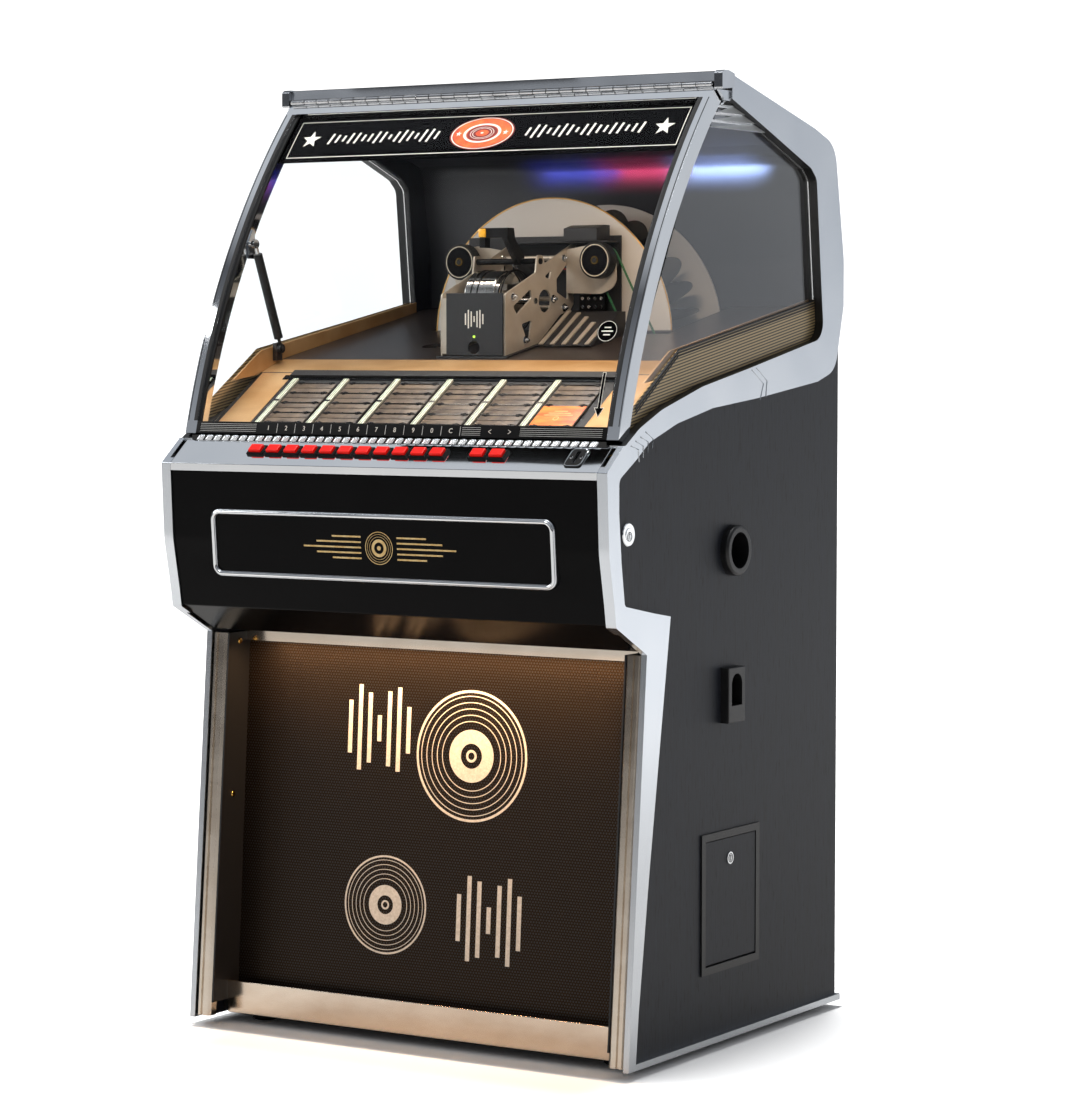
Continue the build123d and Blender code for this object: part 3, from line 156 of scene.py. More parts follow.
def blank(name):
    """A new material with an empty node tree."""
    made = bpy.data.materials.new(name)
    made.use_nodes = True
    made.node_tree.nodes.clear()
    return made, made.node_tree


def studio_sheet(name, centre, size, paint):
    """A flat sheet that belongs to the studio, not to the cabinet."""
    bpy.ops.mesh.primitive_grid_add(x_subdivisions=2, y_subdivisions=2, size=1)
    sheet = bpy.context.object
    sheet.name = name
    sheet.data.transform(Matrix.Translation(centre) @ Matrix.Diagonal((*size, 1, 1)))
    sheet.data.materials.append(paint)
    return sheet


floor_paint, tree = blank("pale studio floor")
floor_seen, _ = straight_view(tree)
pale = add(tree, "BsdfDiffuse", {"Color": (1.45, 1.45, 1.45, 1)})
dull = add(tree, "BsdfDiffuse", {"Color": linear("cfccc8")})
mix = add(tree, "MixShader", links={0: floor_seen, 1: dull.outputs[0], 2: pale.outputs[0]})
add(tree, "OutputMaterial", links={"Surface": mix.outputs[0]})
floor = studio_sheet("floor", (0, 0, 0), (60, 60), floor_paint)

# Two black flags shape the light. One is seen only in mirrors and blackens the shelf's right
# part. The other only casts a shadow, and grounds the cabinet on the floor.
flag_cloth, tree = blank("black flag cloth")
matt = add(tree, "BsdfDiffuse", {"Color": (0.004, 0.004, 0.004, 1)})
add(tree, "OutputMaterial", links={"Surface": matt.outputs[0]})
for name, centre, size, kept_ray in (
        ("dark_flag", (-0.21, -0.195, 1.62), (0.46, 0.115), "glossy"),
        ("shadow_flag", (0.008, 0.026, 0.014), (0.834, 0.722), "shadow")):
    flag = studio_sheet(name, centre, size, flag_cloth)
    for ray in ("camera", "diffuse", "glossy", "transmission", "shadow", "volume_scatter"):
        setattr(flag, f"visible_{ray}", ray == kept_ray)

# Side boards: 18 mm board faced with black-stained ash. The open pores run upright as fine
# dark scratches in a satin lacquer, so the face shows grain only where light rakes it.


def coat_of(name, colour, roughness, metallic=0.0, **sockets):
    """A material with one Principled shader; returns it with its tree and shader."""
    made, tree = blank(name)
    shader = add(tree, "BsdfPrincipled",
                 {"Base Color": linear(colour), "Roughness": roughness, "Metallic": metallic})
    for socket, value in sockets.items():
        shader.inputs[socket.replace("_", " ")].default_value = value
    add(tree, "OutputMaterial", links={"Surface": shader.outputs[0]})
    return made, tree, shader


def mottle(tree, shader, stretch, dark, light, bump=0.0, detail=6.0, rough=None):
    """Noise in real millimetres over the object: stretch is the size of a fleck on each axis."""
    place = add(tree, "TexCoord")
    scaled = add(tree, "Mapping", {"Scale": [1000 / s for s in stretch]},
                 {"Vector": place.outputs["Object"]})
    noise = add(tree, "TexNoise", {"Scale": 1.0, "Detail": detail, "Roughness": 0.6},
                {"Vector": scaled.outputs[0]})
    tree.links.new(ramp(tree, noise.outputs["Fac"], (0.36, dark), (0.64, light)),
                   shader.inputs["Base Color"])
    if rough:
        spread = add(tree, "MapRange", {"To Min": rough[0], "To Max": rough[1]},
                     {"Value": noise.outputs["Fac"]})
        tree.links.new(spread.outputs[0], shader.inputs["Roughness"])
    if bump:
        relief = add(tree, "Bump", {"Strength": bump, "Distance": 0.0004},
                     {"Height": noise.outputs["Fac"]})
        tree.links.new(relief.outputs[0], shader.inputs["Normal"])
    return noise


def coat(name, colour, roughness, fleck, dark, light, metallic=0.0, bump=0.0, detail=6.0,
         rough=None, **sockets):
    """The usual finish: a coat_of material with flecks, of one size or one for each axis."""
    made, tree, shader = coat_of(name, colour, roughness, metallic, **sockets)
    sizes = fleck if isinstance(fleck, tuple) else (fleck,) * 3
    mottle(tree, shader, sizes, dark, light, bump, detail, rough)
    return made


def dress(name, *finishes, edge=0.0005, pick=None):
    """Gives a CAD node its finishes, joins its triangles and rounds its edges a little."""
    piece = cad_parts[name]
    mesh = piece.data
    mesh.materials.clear()
    for finish in finishes:
        mesh.materials.append(finish)
    for face in mesh.polygons:
        face.use_smooth = True
        face.material_index = pick(face.center, face.normal) if pick else 0
    weld = piece.modifiers.new("weld", "WELD")
    weld.merge_threshold = 0.00001
    if edge:
        bevel = piece.modifiers.new("edge", "BEVEL")
        bevel.width = edge
        bevel.segments = 2
        bevel.limit_method = "ANGLE"
        bevel.angle_limit = radians(28)
    split = piece.modifiers.new("split", "EDGE_SPLIT")
    split.split_angle = radians(32)
    level = piece.modifiers.new("level", "WEIGHTED_NORMAL")
    level.weight = 60
    level.keep_sharp = True
    return piece


black_ash, tree, shader = coat_of("black stained ash veneer", "1d1f24", 0.45,
                                  Specular_IOR_Level=0.3)
mottle(tree, shader, (1.8, 1.8, 80), "15171d", "252932", bump=0.35, detail=7, rough=(0.38, 0.54))
grain = shader.inputs["Base Color"].links[0].from_socket
place = add(tree, "TexCoord")
stretched = add(tree, "Mapping", {"Scale": (330, 330, 34)},
                {"Vector": place.outputs["Object"]})
pores = add(tree, "TexNoise", {"Scale": 1.0, "Detail": 3.0},
            {"Vector": stretched.outputs[0]})
open_pore = add(tree, "MapRange", {"From Min": 0.60, "From Max": 0.67},
                {"Value": pores.outputs["Fac"]})
dark = add(tree, "Mix", {"data_type": "RGBA", 7: linear("06070a")},
           {0: open_pore.outputs[0], 6: grain})
tree.links.new(dark.outputs[2], shader.inputs["Base Color"])
for side in ("left", "right"):
    dress(f"side_panel_{side}", black_ash, edge=0)

# Side mouldings: one thick cast and polished aluminium frame on each side, satin silver, with
# short raised ribs where the photograph shows them. The front lip wraps the belly's edge.
satin_silver = coat("polished cast aluminium", "dde1e6", 0.24, 160, "d3d8de", "dbdfe4",
                    metallic=1.0, detail=1, rough=(0.22, 0.27))
gasket = coat("black window gasket", "0a0a0b", 0.35, 8, "080809", "0e0e10", rough=(0.3, 0.42))


def trim_finish(centre, out):
    """The reveal round the window is lined with black gasket."""
    if centre.y < 0.02 and centre.z > 1.46:
        return 0
    inward = (-0.05 - centre.y) * out.y + (1.25 - centre.z) * out.z
    return 1 if centre.z > 0.965 and abs(out.x) < 0.5 and inward > 0 else 0


for side in ("left", "right"):
    dress(f"side_trim_{side}", satin_silver, gasket, edge=0.0016, pick=trim_finish)


def make(name, shape, body, *finishes, sharp=32):
    """Turns a bmesh into a finished piece that rides on a body."""
    bmesh.ops.recalc_face_normals(shape, faces=shape.faces)
    mesh = bpy.data.meshes.new(name)
    shape.to_mesh(mesh)
    shape.free()
    for finish in finishes:
        mesh.materials.append(finish)
    for face in mesh.polygons:
        face.use_smooth = True
    mesh.set_sharp_from_angle(angle=radians(sharp))
    piece = bpy.data.objects.new(name, mesh)
    scene.collection.objects.link(piece)
    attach(piece, body)
    return piece


def turned(origin, along, up=(0, 0, 1)):
    """Matrix whose x axis runs along a direction and whose z axis leans towards up."""
    x = Vector(along).normalized()
    y = Vector(up).cross(x)
    if y.length < 0.001:
        y = Vector((0, 1, 0)).cross(x)
    y.normalize()
    matrix = Matrix((x, y, x.cross(y))).transposed().to_4x4()
    matrix.translation = Vector(origin)
    return matrix


def brick(shape, matrix, low, high, finish=0, bevel=0.0):
    """A block between two opposite corners, in the matrix's own axes."""
    low, high = Vector(low), Vector(high)
    size = [abs(run) for run in high - low]
    spot = matrix @ Matrix.Translation((low + high) / 2) @ Matrix.Diagonal((*size, 1))
    made = bmesh.ops.create_cube(shape, size=1, matrix=spot)
    faces = {face for vert in made["verts"] for face in vert.link_faces}
    for face in faces:
        face.material_index = finish
    if bevel:
        edges = list({edge for vert in made["verts"] for edge in vert.link_edges})
        bmesh.ops.bevel(shape, geom=edges, offset=bevel, segments=2, affect="EDGES",
                        profile=0.5, material=-1)
    return made


def peg(shape, start, end, radius, finish=0, sides=24, far_radius=None, bevel=0.0):
    """A round bar from one point to another."""
    start, end = Vector(start), Vector(end)
    run = end - start
    spot = Matrix.Translation((start + end) / 2) @ run.to_track_quat("Z", "Y").to_matrix().to_4x4()
    far = radius if far_radius is None else far_radius
    made = bmesh.ops.create_cone(shape, cap_ends=True, segments=sides, radius1=radius,
                                 radius2=far, depth=run.length, matrix=spot)
    faces = {face for vert in made["verts"] for face in vert.link_faces}
    for face in faces:
        face.material_index = finish
    if bevel:
        rims = [edge for edge in {e for v in made["verts"] for e in v.link_edges}
                if len(edge.link_faces) == 2 and edge.calc_face_angle() > 1.0]
        bmesh.ops.bevel(shape, geom=rims, offset=bevel, segments=2, affect="EDGES",
                        profile=0.5, material=-1)
    return made


def skin(shape, loops, finish=0, closed=False):
    """Faces between neighbouring loops of points; the ends are capped, or joined if closed."""
    loops = [[shape.verts.new(point) for point in loop] for loop in loops]
    faces = []
    for one, two in zip(loops, loops[1:] + loops[:1] if closed else loops[1:]):
        count = len(one)
        faces += [shape.faces.new((one[i], one[(i + 1) % count], two[(i + 1) % count], two[i]))
                  for i in range(count)]
    if not closed:
        faces += [shape.faces.new(loops[0]), shape.faces.new(loops[-1])]
    for face in faces:
        face.material_index = finish


def tube(shape, points, radius, finish=0, sides=10, closed=False):
    """A round tube through points, with its section turned to follow the path."""
    count = len(points)
    rings = []
    side = None
    for i, point in enumerate(points):
        ahead = points[(i + 1) % count] if closed or i + 1 < count else point
        behind = points[i - 1] if closed or i else point
        run = (ahead - behind).normalized()
        side = run.orthogonal() if side is None else side - run * side.dot(run)
        side.normalize()
        over = run.cross(side)
        rings.append([shape.verts.new(point + (side * cos(2 * pi * k / sides)
                                               + over * sin(2 * pi * k / sides)) * radius)
                      for k in range(sides)])
    pairs = list(zip(rings, rings[1:])) + ([(rings[-1], rings[0])] if closed else [])
    for one, two in pairs:
        turn = min(range(sides), key=lambda k: (two[k].co - one[0].co).length)
        for k in range(sides):
            a, b = one[k], one[(k + 1) % sides]
            c, d = two[(k + 1 + turn) % sides], two[(k + turn) % sides]
            shape.faces.new((a, b, c, d)).material_index = finish
    if not closed:
        for end in (rings[0], rings[-1]):
            shape.faces.new(end).material_index = finish


trim_face_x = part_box("side_trim_right")[1].x
trim_ribs = bmesh.new()
rib_bends = [((-0.2702, 0.9850), (-0.2483, 0.9744), (-0.2500, 0.9603)),
             ((-0.2851, 0.9778), (-0.2627, 0.9697), (-0.2641, 0.9531)),
             ((-0.2999, 0.9721), (-0.2776, 0.9640), (-0.2775, 0.9466)),
             ((-0.3137, 0.9649), (-0.2918, 0.9589), (-0.2900, 0.9402)),
             ((0.0639, 1.0769), (0.1031, 1.0542), (0.0916, 1.0284)),
             ((0.0795, 1.0796), (0.1148, 1.0589), (0.1110, 1.0326))]
for side in (-1, 1):
    for bend in rib_bends:
        tube(trim_ribs, [Vector((side * (trim_face_x - 0.0002), y, z)) for y, z in bend], 0.0011)
make("trim_ribs", trim_ribs, "cabinet", satin_silver)

# Carcass: base and back of black laminated board and a lacquered roof, on rubber feet. The
# back is held by fourteen screws round its edge.
laminate = coat("black melamine board", "17181a", 0.5, 1.2, "131416", "1c1d20", bump=0.25,
                rough=(0.42, 0.6))
for name in ("base_panel", "back_panel"):
    dress(name, laminate, edge=0.0008)
roof_paint = coat("satin black lacquer", "0d0e10", 0.3, 30, "0b0c0e", "121316", rough=(0.26, 0.36))
dress("roof_panel", roof_paint, edge=0.001)
rubber = coat("black rubber", "141414", 0.72, 2, "101010", "1b1b1b", bump=0.3, rough=(0.65, 0.8))
dress("feet", rubber, edge=0.001)

plated = coat("zinc plated steel", "b9bbbd", 0.32, 8, "a9abad", "c6c8ca", metallic=1.0,
              rough=(0.26, 0.4))


def cross_head(shape, centre, out, radius, finish=0, slit=1):
    """A domed screw head with a cross recess, on a face whose outward direction is out."""
    centre, out = Vector(centre), Vector(out).normalized()
    peg(shape, centre, centre + out * radius * 0.35, radius, finish, 20,
        far_radius=radius * 0.75)
    side = out.orthogonal().normalized()
    # The cross recess is painted shade: two thin bars in the slit finish stand for the dark inside
    # it.
    for arm in (side, out.cross(side)):
        spot = turned(centre + out * radius * 0.3, arm, out)
        long = radius * 0.55
        brick(shape, spot, (-long, -radius * 0.1, 0), (long, radius * 0.1, radius * 0.07), slit)


# Painted shade: a near-black finish for screw recesses, hinge gaps and the locks' grooves and
# slots, standing in for the shade inside them.
painted_recess_shade = coat("shadowed recess", "060606", 0.8, 3, "050505", "0a0a0a")
back_low, back_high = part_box("back_panel")
back_screws = bmesh.new()
end_rows = [(x, z) for x in (-0.37, -0.125, 0.125, 0.37)
            for z in (back_low.z + 0.02, back_high.z - 0.02)]
side_rows = [(x, z) for z in (0.35, 0.65, 0.95) for x in (-0.37, 0.37)]
for x, z in end_rows + side_rows:
    cross_head(back_screws, (x, back_high.y, z), (0, 1, 0), 0.005)
make("back_screws", back_screws, "cabinet", plated, painted_recess_shade)

# Hood: a bent dark grey plastic lining behind the player, with the deck below it. The deck is
# painted a warm near-black, so it mirrors the mechanism's foot.
lining_grey = coat("dark grey vacuum-formed plastic", "26272d", 0.38, 90, "24252b", "28292f",
                   detail=1, rough=(0.34, 0.42))
dress("hood_lining", lining_grey, edge=0)
deck_paint = coat("warm black enamel", "2a2422", 0.3, 300, "282220", "2b2523", detail=1)
dress("deck_plate", deck_paint, edge=0.0005)
for name, x, colour, power in (("glow_violet", -0.085, "5560ff", 0.09),
                               ("glow_rose", 0.045, "ff4a80", 0.13),
                               ("glow_blue", 0.200, "a9c2ff", 0.40)):
    glow = softbox(name, (x, 0.272, 1.394), (x, 0.331, 1.416), (0.15, 0.008), power, colour)
    glow.data.spread = radians(80)
    glow.visible_camera = False
hood_lamp = softbox("hood_strip", (0.27, -0.075, 1.38), (0.20, -0.05, 1.0), (0.20, 0.02), 1.0,
                    "ffe0c0")
fill_lamp = softbox("hood_fill", (0.0, -0.085, 1.405), (0.0, 0.0, 1.1), (0.55, 0.02), 0.5,
                    "fff0e2")
for lamp in (hood_lamp, fill_lamp):
    lamp.visible_camera = False
    lamp.visible_transmission = False
hood_lamp.visible_glossy = False

# Top: a bright cap bar with end caps, the fixed half of the piano hinge, and stepped
# louvres in the windows' upper corners.
chrome = coat("bright chrome plate", "e9ebee", 0.05, 200, "e6e9ec", "edeff1", metallic=1.0,
              detail=1, rough=(0.04, 0.06))
hinge_steel = coat("nickel plated hinge", "cfd0d2", 0.16, 30, "c8c9cb", "d6d7d9", metallic=1.0,
                   detail=1, rough=(0.14, 0.18))
bar_silver = coat("polished aluminium section", "d3d6da", 0.11, 90, "cdd0d4", "d8dbdf",
                  metallic=1.0, detail=1, rough=(0.1, 0.13))
slat_silver = coat("brushed aluminium slats", "e2e6ea", 0.42, 60, "dce0e4", "e7ebee",
                   metallic=0.35, rough=(0.36, 0.48))


def bar_finish(centre, out):
    """The bar is bright, its hinge leaf and knuckles are nickel, and the louvres are satin."""
    if centre.y > 0.0002:
        return 2
    return 1 if centre.z < 1.5279 and abs(centre.x) < 0.4085 else 0


dress("top_bar", bar_silver, hinge_steel, slat_silver, edge=0.0006, pick=bar_finish)
knuckles = 32
hinge_line = Vector((0, -0.042, 1.523))
# Painted shade: thin near-black discs stand in the gaps between the hinge knuckles.
hinge_gaps = bmesh.new()
for index in range(1, knuckles):
    x = -0.403 + index * 0.806 / knuckles
    gap = [hinge_line + Vector((x + step, 0, 0)) for step in (-0.0005, 0.0005)]
    peg(hinge_gaps, *gap, 0.0041, sides=20)
make("hinge_gaps", hinge_gaps, "cabinet", painted_recess_shade)


def thicken(shape, face, depth):
    """Pulls a flat face out into a thin solid."""
    made = bmesh.ops.extrude_face_region(shape, geom=[face])
    verts = [item for item in made["geom"] if isinstance(item, bmesh.types.BMVert)]
    bmesh.ops.translate(shape, verts=verts, vec=depth)


corner_plates = bmesh.new()
for side in (-1, 1):
    outline = [(-0.0400, 1.5147), (-0.0035, 1.5147), (-0.0035, 1.4985), (-0.0200, 1.4985)]
    face = corner_plates.faces.new([corner_plates.verts.new((side * 0.4125, y, z))
                                    for y, z in outline])
    thicken(corner_plates, face, (side * 0.0040, 0, 0))
make("corner_plates", corner_plates, "cabinet", satin_silver)

# Windows: 4 mm clear sheets held in the side mouldings. A printed band of fine gilt lines runs
# along their foot. The sheets let the lamps through to the player.


def clear_sheet(name, tint, faint, index):
    """Clear glazing, whose tint varies a little over the sheet."""
    return coat(name, tint, 0.0, 400, faint, tint, detail=1, Transmission_Weight=1.0, IOR=index)


panes = dress("side_windows", clear_sheet("clear acrylic sheet", "f6f9fb", "f2f6f9", 1.52), edge=0)
panes.visible_shadow = False

band_print, tree, shader = coat_of("gilt line print", "b39b6b", 0.35, 0.35)
place = add(tree, "TexCoord")
spot = add(tree, "Mapping", {"Rotation": (radians(-10.2), 0, 0)},
           {"Vector": place.outputs["Object"]})
line_pitch = 0.0046
lines = add(tree, "TexWave", {"bands_direction": "Z", "Scale": 0.314159 / line_pitch},
            {"Vector": spot.outputs[0]})
tree.links.new(ramp(tree, lines.outputs["Color"], (0.35, "4c4334"), (0.6, "b59f75")),
               shader.inputs["Base Color"])
dress("window_bands", band_print, edge=0)
band_top = [(-0.278, 1.020), (-0.147, 1.108), (0.277, 1.184), (0.303, 1.189)]
band_x = 0.4057
band_edge = bmesh.new()
for side in (-1, 1):
    for row in range(3):
        drop = row * 0.0045
        for start, end in zip(band_top, band_top[1:]):
            a = Vector((side * band_x, start[0], start[1] - drop))
            b = Vector((side * band_x, end[0], end[1] - drop))
            peg(band_edge, a, b, 0.0011 if row else 0.0016, sides=6)
make("band_edges", band_edge, "cabinet", gasket)

# Door: a curved chrome frame on a piano hinge, with rubber strips down both sides of the glass.
# Its arc is worked out from its foot, its head and its radius.
door_radius = 1.275
door_foot = Vector((0, -0.333, 0.974))
door_head = Vector((0, -0.041, 1.518))
chord = door_head - door_foot
rise = (door_radius ** 2 - (chord.length / 2) ** 2) ** 0.5
inward = Vector((0, chord.z, -chord.y)).normalized()
arc_centre = (door_foot + door_head) / 2 + inward * rise
arc_low = atan2(door_foot.z - arc_centre.z, door_foot.y - arc_centre.y)
arc_high = atan2(door_head.z - arc_centre.z, door_head.y - arc_centre.y)
arc_length = (arc_low - arc_high) * door_radius


def on_door(x, along, depth):
    """A point of the door: along is the arc's length up from the foot, depth is inwards."""
    angle = arc_low - along / door_radius
    reach = door_radius - depth
    return Vector((x, arc_centre.y + reach * cos(angle), arc_centre.z + reach * sin(angle)))


def plane_at(place, up, out):
    """Matrix at a place: x to the right, y up and z outwards."""
    matrix = Matrix((Vector((1, 0, 0)), up, out)).transposed().to_4x4()
    matrix.translation = place
    return matrix


def shifted(spot, x, y, z=0.0):
    """The same matrix, moved along its own axes."""
    return spot @ Matrix.Translation((x, y, z))


def door_spot(x, along, depth):
    """Matrix on the door: x to the right, y up the arc and z outwards."""
    here = on_door(x, along, depth)
    up = (on_door(x, along + 0.001, depth) - here).normalized()
    return plane_at(here, up, Vector((1, 0, 0)).cross(up))


def door_strip(shape, x0, x1, along0, along1, depth0, depth1, finish=0, steps=40):
    """A strip of the curved door, swept along its arc in short steps."""
    x0, x1 = sorted((x0, x1))
    rows = []
    for step in range(steps + 1):
        along = along0 + (along1 - along0) * step / steps
        corners = [(x0, depth0), (x1, depth0), (x1, depth1), (x0, depth1)]
        rows.append([on_door(x, along, depth) for x, depth in corners])
    skin(shape, rows, finish)


def frame_finish(centre, out):
    """The leaf above the door's own arc is the duller steel of the hinge."""
    return 1 if centre.z > 1.5185 else 0


dress("door_frame", chrome, hinge_steel, edge=0.0012, pick=frame_finish)
glass = dress("door_glass", clear_sheet("coated door glass", "fcfdfd", "f9fbfb", 1.12), edge=0)
glass.visible_shadow = False
door_seal = bmesh.new()
opening_x = 0.3887
seal_end = 0.021
for side in (-1, 1):
    for low, high, front, rear in ((-0.0045, -0.0002, 0.0045, 0.0078),
                                   (0.0006, 0.0070, -0.0006, 0.002),
                                   (0.0178, 0.0188, -0.0004, 0.002)):
        door_strip(door_seal, side * (opening_x + low), side * (opening_x + high), seal_end,
                   arc_length - seal_end, front, rear)
make("door_seal", door_seal, "door", rubber)

# Header: a black printed band behind the top of the glass. It has a fine cream line round it, a
# plain star at each end, rows of slanted bars and an oval amber and red disc in the middle.
gloss_black = coat("gloss black enamel", "08080a", 0.12, 50, "070708", "0b0b0d", rough=(0.1, 0.16))
header_black = coat("satin black header print", "050506", 0.6, 50, "040405", "070708",
                    Specular_IOR_Level=0.0)
dress("door_header", header_black, edge=0)
cream_print = coat("cream screen print", "efe9dc", 0.4, 6, "e6dfd0", "f5f0e6")
amber_print = coat("amber screen print", "d8551f", 0.35, 20, "c9451a", "e8702c")


def flat_star(shape, matrix, radius, finish=0, points=5, thickness=0.0002, inner=0.42):
    """A star-shaped print, as a thin fan of faces."""
    rim = []
    for i in range(points * 2):
        reach = radius if i % 2 == 0 else radius * inner
        angle = pi / 2 + i * pi / points
        rim.append(shape.verts.new(matrix @ Vector((reach * cos(angle), reach * sin(angle), 0))))
    face = shape.faces.new(rim)
    face.material_index = finish
    thicken(shape, face, matrix.to_3x3() @ Vector((0, 0, thickness)))


def ring(shape, matrix, radius, width, finish=0, sides=48, thickness=0.0002):
    """A flat printed ring, or a disc where its width is its radius."""
    inner = max(radius - width, 0.00001)
    turns = [2 * pi * i / sides for i in range(sides)]
    skin(shape, [[matrix @ Vector((reach * cos(turn), reach * sin(turn), height))
                  for turn in turns]
                 for reach, height in ((inner, 0), (radius, 0), (radius, thickness),
                                       (inner, thickness))], finish, closed=True)


header_depth = 0.0130
header_middle = arc_length - 0.020 - 0.0495
line_up = 0.0395
line_end = 0.3748
header_print = bmesh.new()
for side in (-1, 1):
    flat_star(header_print, door_spot(side * 0.340, header_middle, header_depth), 0.0185)
    door_strip(header_print, side * 0.3735, side * line_end, header_middle - line_up,
               header_middle + line_up, header_depth - 0.0002, header_depth, 1, 8)
    for bar in range(17):
        x = side * (0.088 + bar * 0.0132)
        tall = 0.0045 + 0.0105 * abs(sin(bar * 0.85 + 0.4)) * (1 - 0.02 * bar)
        spot = door_spot(x, header_middle, header_depth) @ Matrix.Rotation(radians(-14), 4, "Z")
        brick(header_print, spot, (-0.0021, -tall, 0), (0.0021, tall, 0.0002), 0)
for along in (header_middle - line_up, header_middle + line_up):
    door_strip(header_print, -line_end, line_end, along - 0.0007, along + 0.0007,
               header_depth - 0.0002, header_depth, 1, 2)
badge = door_spot(0, header_middle, header_depth)
for radius, width, finish, lift in ((0.0350, 0.0350, 3, 0.0), (0.0335, 0.0012, 0, 0.0002),
                                    (0.0315, 0.0315, 2, 0.0003), (0.0205, 0.0030, 0, 0.0006),
                                    (0.0165, 0.0165, 3, 0.0006), (0.0130, 0.0006, 0, 0.0009),
                                    (0.0105, 0.0006, 0, 0.0009), (0.0070, 0.0070, 2, 0.0009),
                                    (0.0016, 0.0016, 0, 0.0012)):
    wide = shifted(badge, 0, 0, lift) @ Matrix.Diagonal((1.75, 1, 1, 1))
    ring(header_print, wide, radius, width, finish)
for side in (-1, 1):
    spot = shifted(badge, side * 0.045, 0, 0.0007)
    flat_star(header_print, spot, 0.0055)
badge_red = coat("deep red screen print", "7a1208", 0.35, 20, "6d0f06", "8a1a0c")
make("header_print", header_print, "door", cream_print, cream_print, amber_print, badge_red)

# Marks on the glass: a plain round black badge and a thin white-edged arrow towards the coin
# plate, stuck on the inner face of the glass.
glass_marks = bmesh.new()
mark_depth = 0.0128
badge_spot = door_spot(0.350, 0.177, mark_depth)
ring(glass_marks, badge_spot, 0.0180, 0.0180, 0, 40)
ring(glass_marks, shifted(badge_spot, 0, 0, 0.0003), 0.0168, 0.0007, 1, 40)
for row, half in enumerate((0.006, 0.010, 0.006)):
    y = 0.006 - row * 0.006
    brick(glass_marks, badge_spot, (-half, y - 0.0010, 0.0002), (half, y + 0.0010, 0.0005), 1)
for x0, x1, along0, along1, lift, finish in ((0.3572, 0.3628, 0.052, 0.110, 0.0, 1),
                                             (0.3580, 0.3620, 0.050, 0.109, 0.0003, 0)):
    door_strip(glass_marks, x0, x1, along0, along1, mark_depth - lift - 0.0003,
               mark_depth - lift, finish, 6)
for reach, finish, lift in ((0.0105, 1, 0.0), (0.0085, 0, 0.0003)):
    tip = shifted(door_spot(0.360, 0.048, mark_depth), 0, 0, lift)
    tip = tip @ Matrix.Rotation(pi, 4, "Z")
    flat_star(glass_marks, tip, reach, finish, points=3, inner=0.5)
make("glass_marks", glass_marks, "door", header_black, cream_print)

# Number rail: the door's black lower rail. It has plain numbers over the keys with a fine
# stroke between them, two small arrow heads, and rows of fine lines beside them.
rail_black = coat("black anodised rail", "070708", 0.4, 40, "060607", "09090a",
                  Specular_IOR_Level=0.12)
dress("number_rail", rail_black, edge=0.0008)


def lettering(shape, words, matrix, height, finish=0, thickness=0.0002):
    """Plain figures set on a matrix's xy plane, centred, and joined to a bmesh."""
    curve = bpy.data.curves.new("figures", "FONT")
    curve.body = words
    curve.size = height / 0.73
    curve.align_x = "CENTER"
    curve.align_y = "CENTER"
    curve.extrude = thickness
    curve.resolution_u = 4
    holder = bpy.data.objects.new("figures", curve)
    scene.collection.objects.link(holder)
    bpy.context.view_layer.update()
    seen = holder.evaluated_get(bpy.context.evaluated_depsgraph_get())
    mesh = bpy.data.meshes.new_from_object(seen)
    mesh.transform(matrix)
    for face in mesh.polygons:
        face.material_index = finish
    shape.from_mesh(mesh)
    bpy.data.objects.remove(holder)
    bpy.data.curves.remove(curve)
    bpy.data.meshes.remove(mesh)


rail_middle = 0.0100
key_pitch = 0.035
number_print = bmesh.new()
labels = list("1234567890C")
for index, label in enumerate(labels):
    x = -0.244 + index * key_pitch
    lettering(number_print, label, door_spot(x, rail_middle, 0.0), 0.0078)
    stroke = door_spot(x + key_pitch / 2, rail_middle, 0.0)
    brick(number_print, stroke, (-0.0004, -0.0075, 0), (0.0004, 0.0075, 0.0002), 1)
for x, turn in ((0.178, 1), (0.214, -1)):
    for up in (-1, 1):
        spot = shifted(door_spot(x, rail_middle, 0.0), -0.0025 * turn, 0)
        spot = spot @ Matrix.Rotation(up * turn * radians(32), 4, "Z")
        brick(number_print, spot, (0, -0.0004, 0), (0.006 * turn, 0.0004, 0.0002))
for low, high in ((-0.380, -0.268), (0.127, 0.161), (0.233, 0.380)):
    for row in range(5):
        along = rail_middle - 0.0060 + row * 0.0030
        spot = door_spot(0, along, 0.0)
        brick(number_print, spot, (low, -0.00025, 0), (high, 0.00025, 0.0004), 1)
rail_grey = coat("pale grey rail print", "d2d2ce", 0.5, 6, "c8c8c4", "dcdcd8")
make("number_print", number_print, "door", cream_print, rail_grey)

# Gas strut: a black painted tube with a bright rod that runs up to a ball stud on the door.
strut_black = coat("black powder coat", "111214", 0.4, 1.5, "0e0f11", "17181a", bump=0.2,
                   rough=(0.35, 0.5))
dress("strut_tube", strut_black, edge=0.0006)
dress("strut_rod", chrome, edge=0.0006)

# Belly: a bent panel in gloss black lacquer, with a black plate in a bright frame let into it.
# The plate is printed with plain gold rings and a few lines on each side of them.
belly_black = coat("gloss black lacquer", "030304", 0.22, 120, "020203", "050506",
                   rough=(0.18, 0.26), Specular_IOR_Level=0.08)
dress("belly_panel", belly_black, edge=0.0015)
gold_print = coat("gold screen print", "d9b878", 0.35, 12, "cfa967", "e6cb92", metallic=0.3)
plate_lean = radians(4.7)
plate_out = Vector((0, -cos(plate_lean), -sin(plate_lean)))
plate_up = Vector((0, -sin(plate_lean), cos(plate_lean)))
plate_spot = plane_at(Vector((0, -0.3768, 0.8005)), plate_up, plate_out)
plate_half = Vector((0.316, 0.0455))


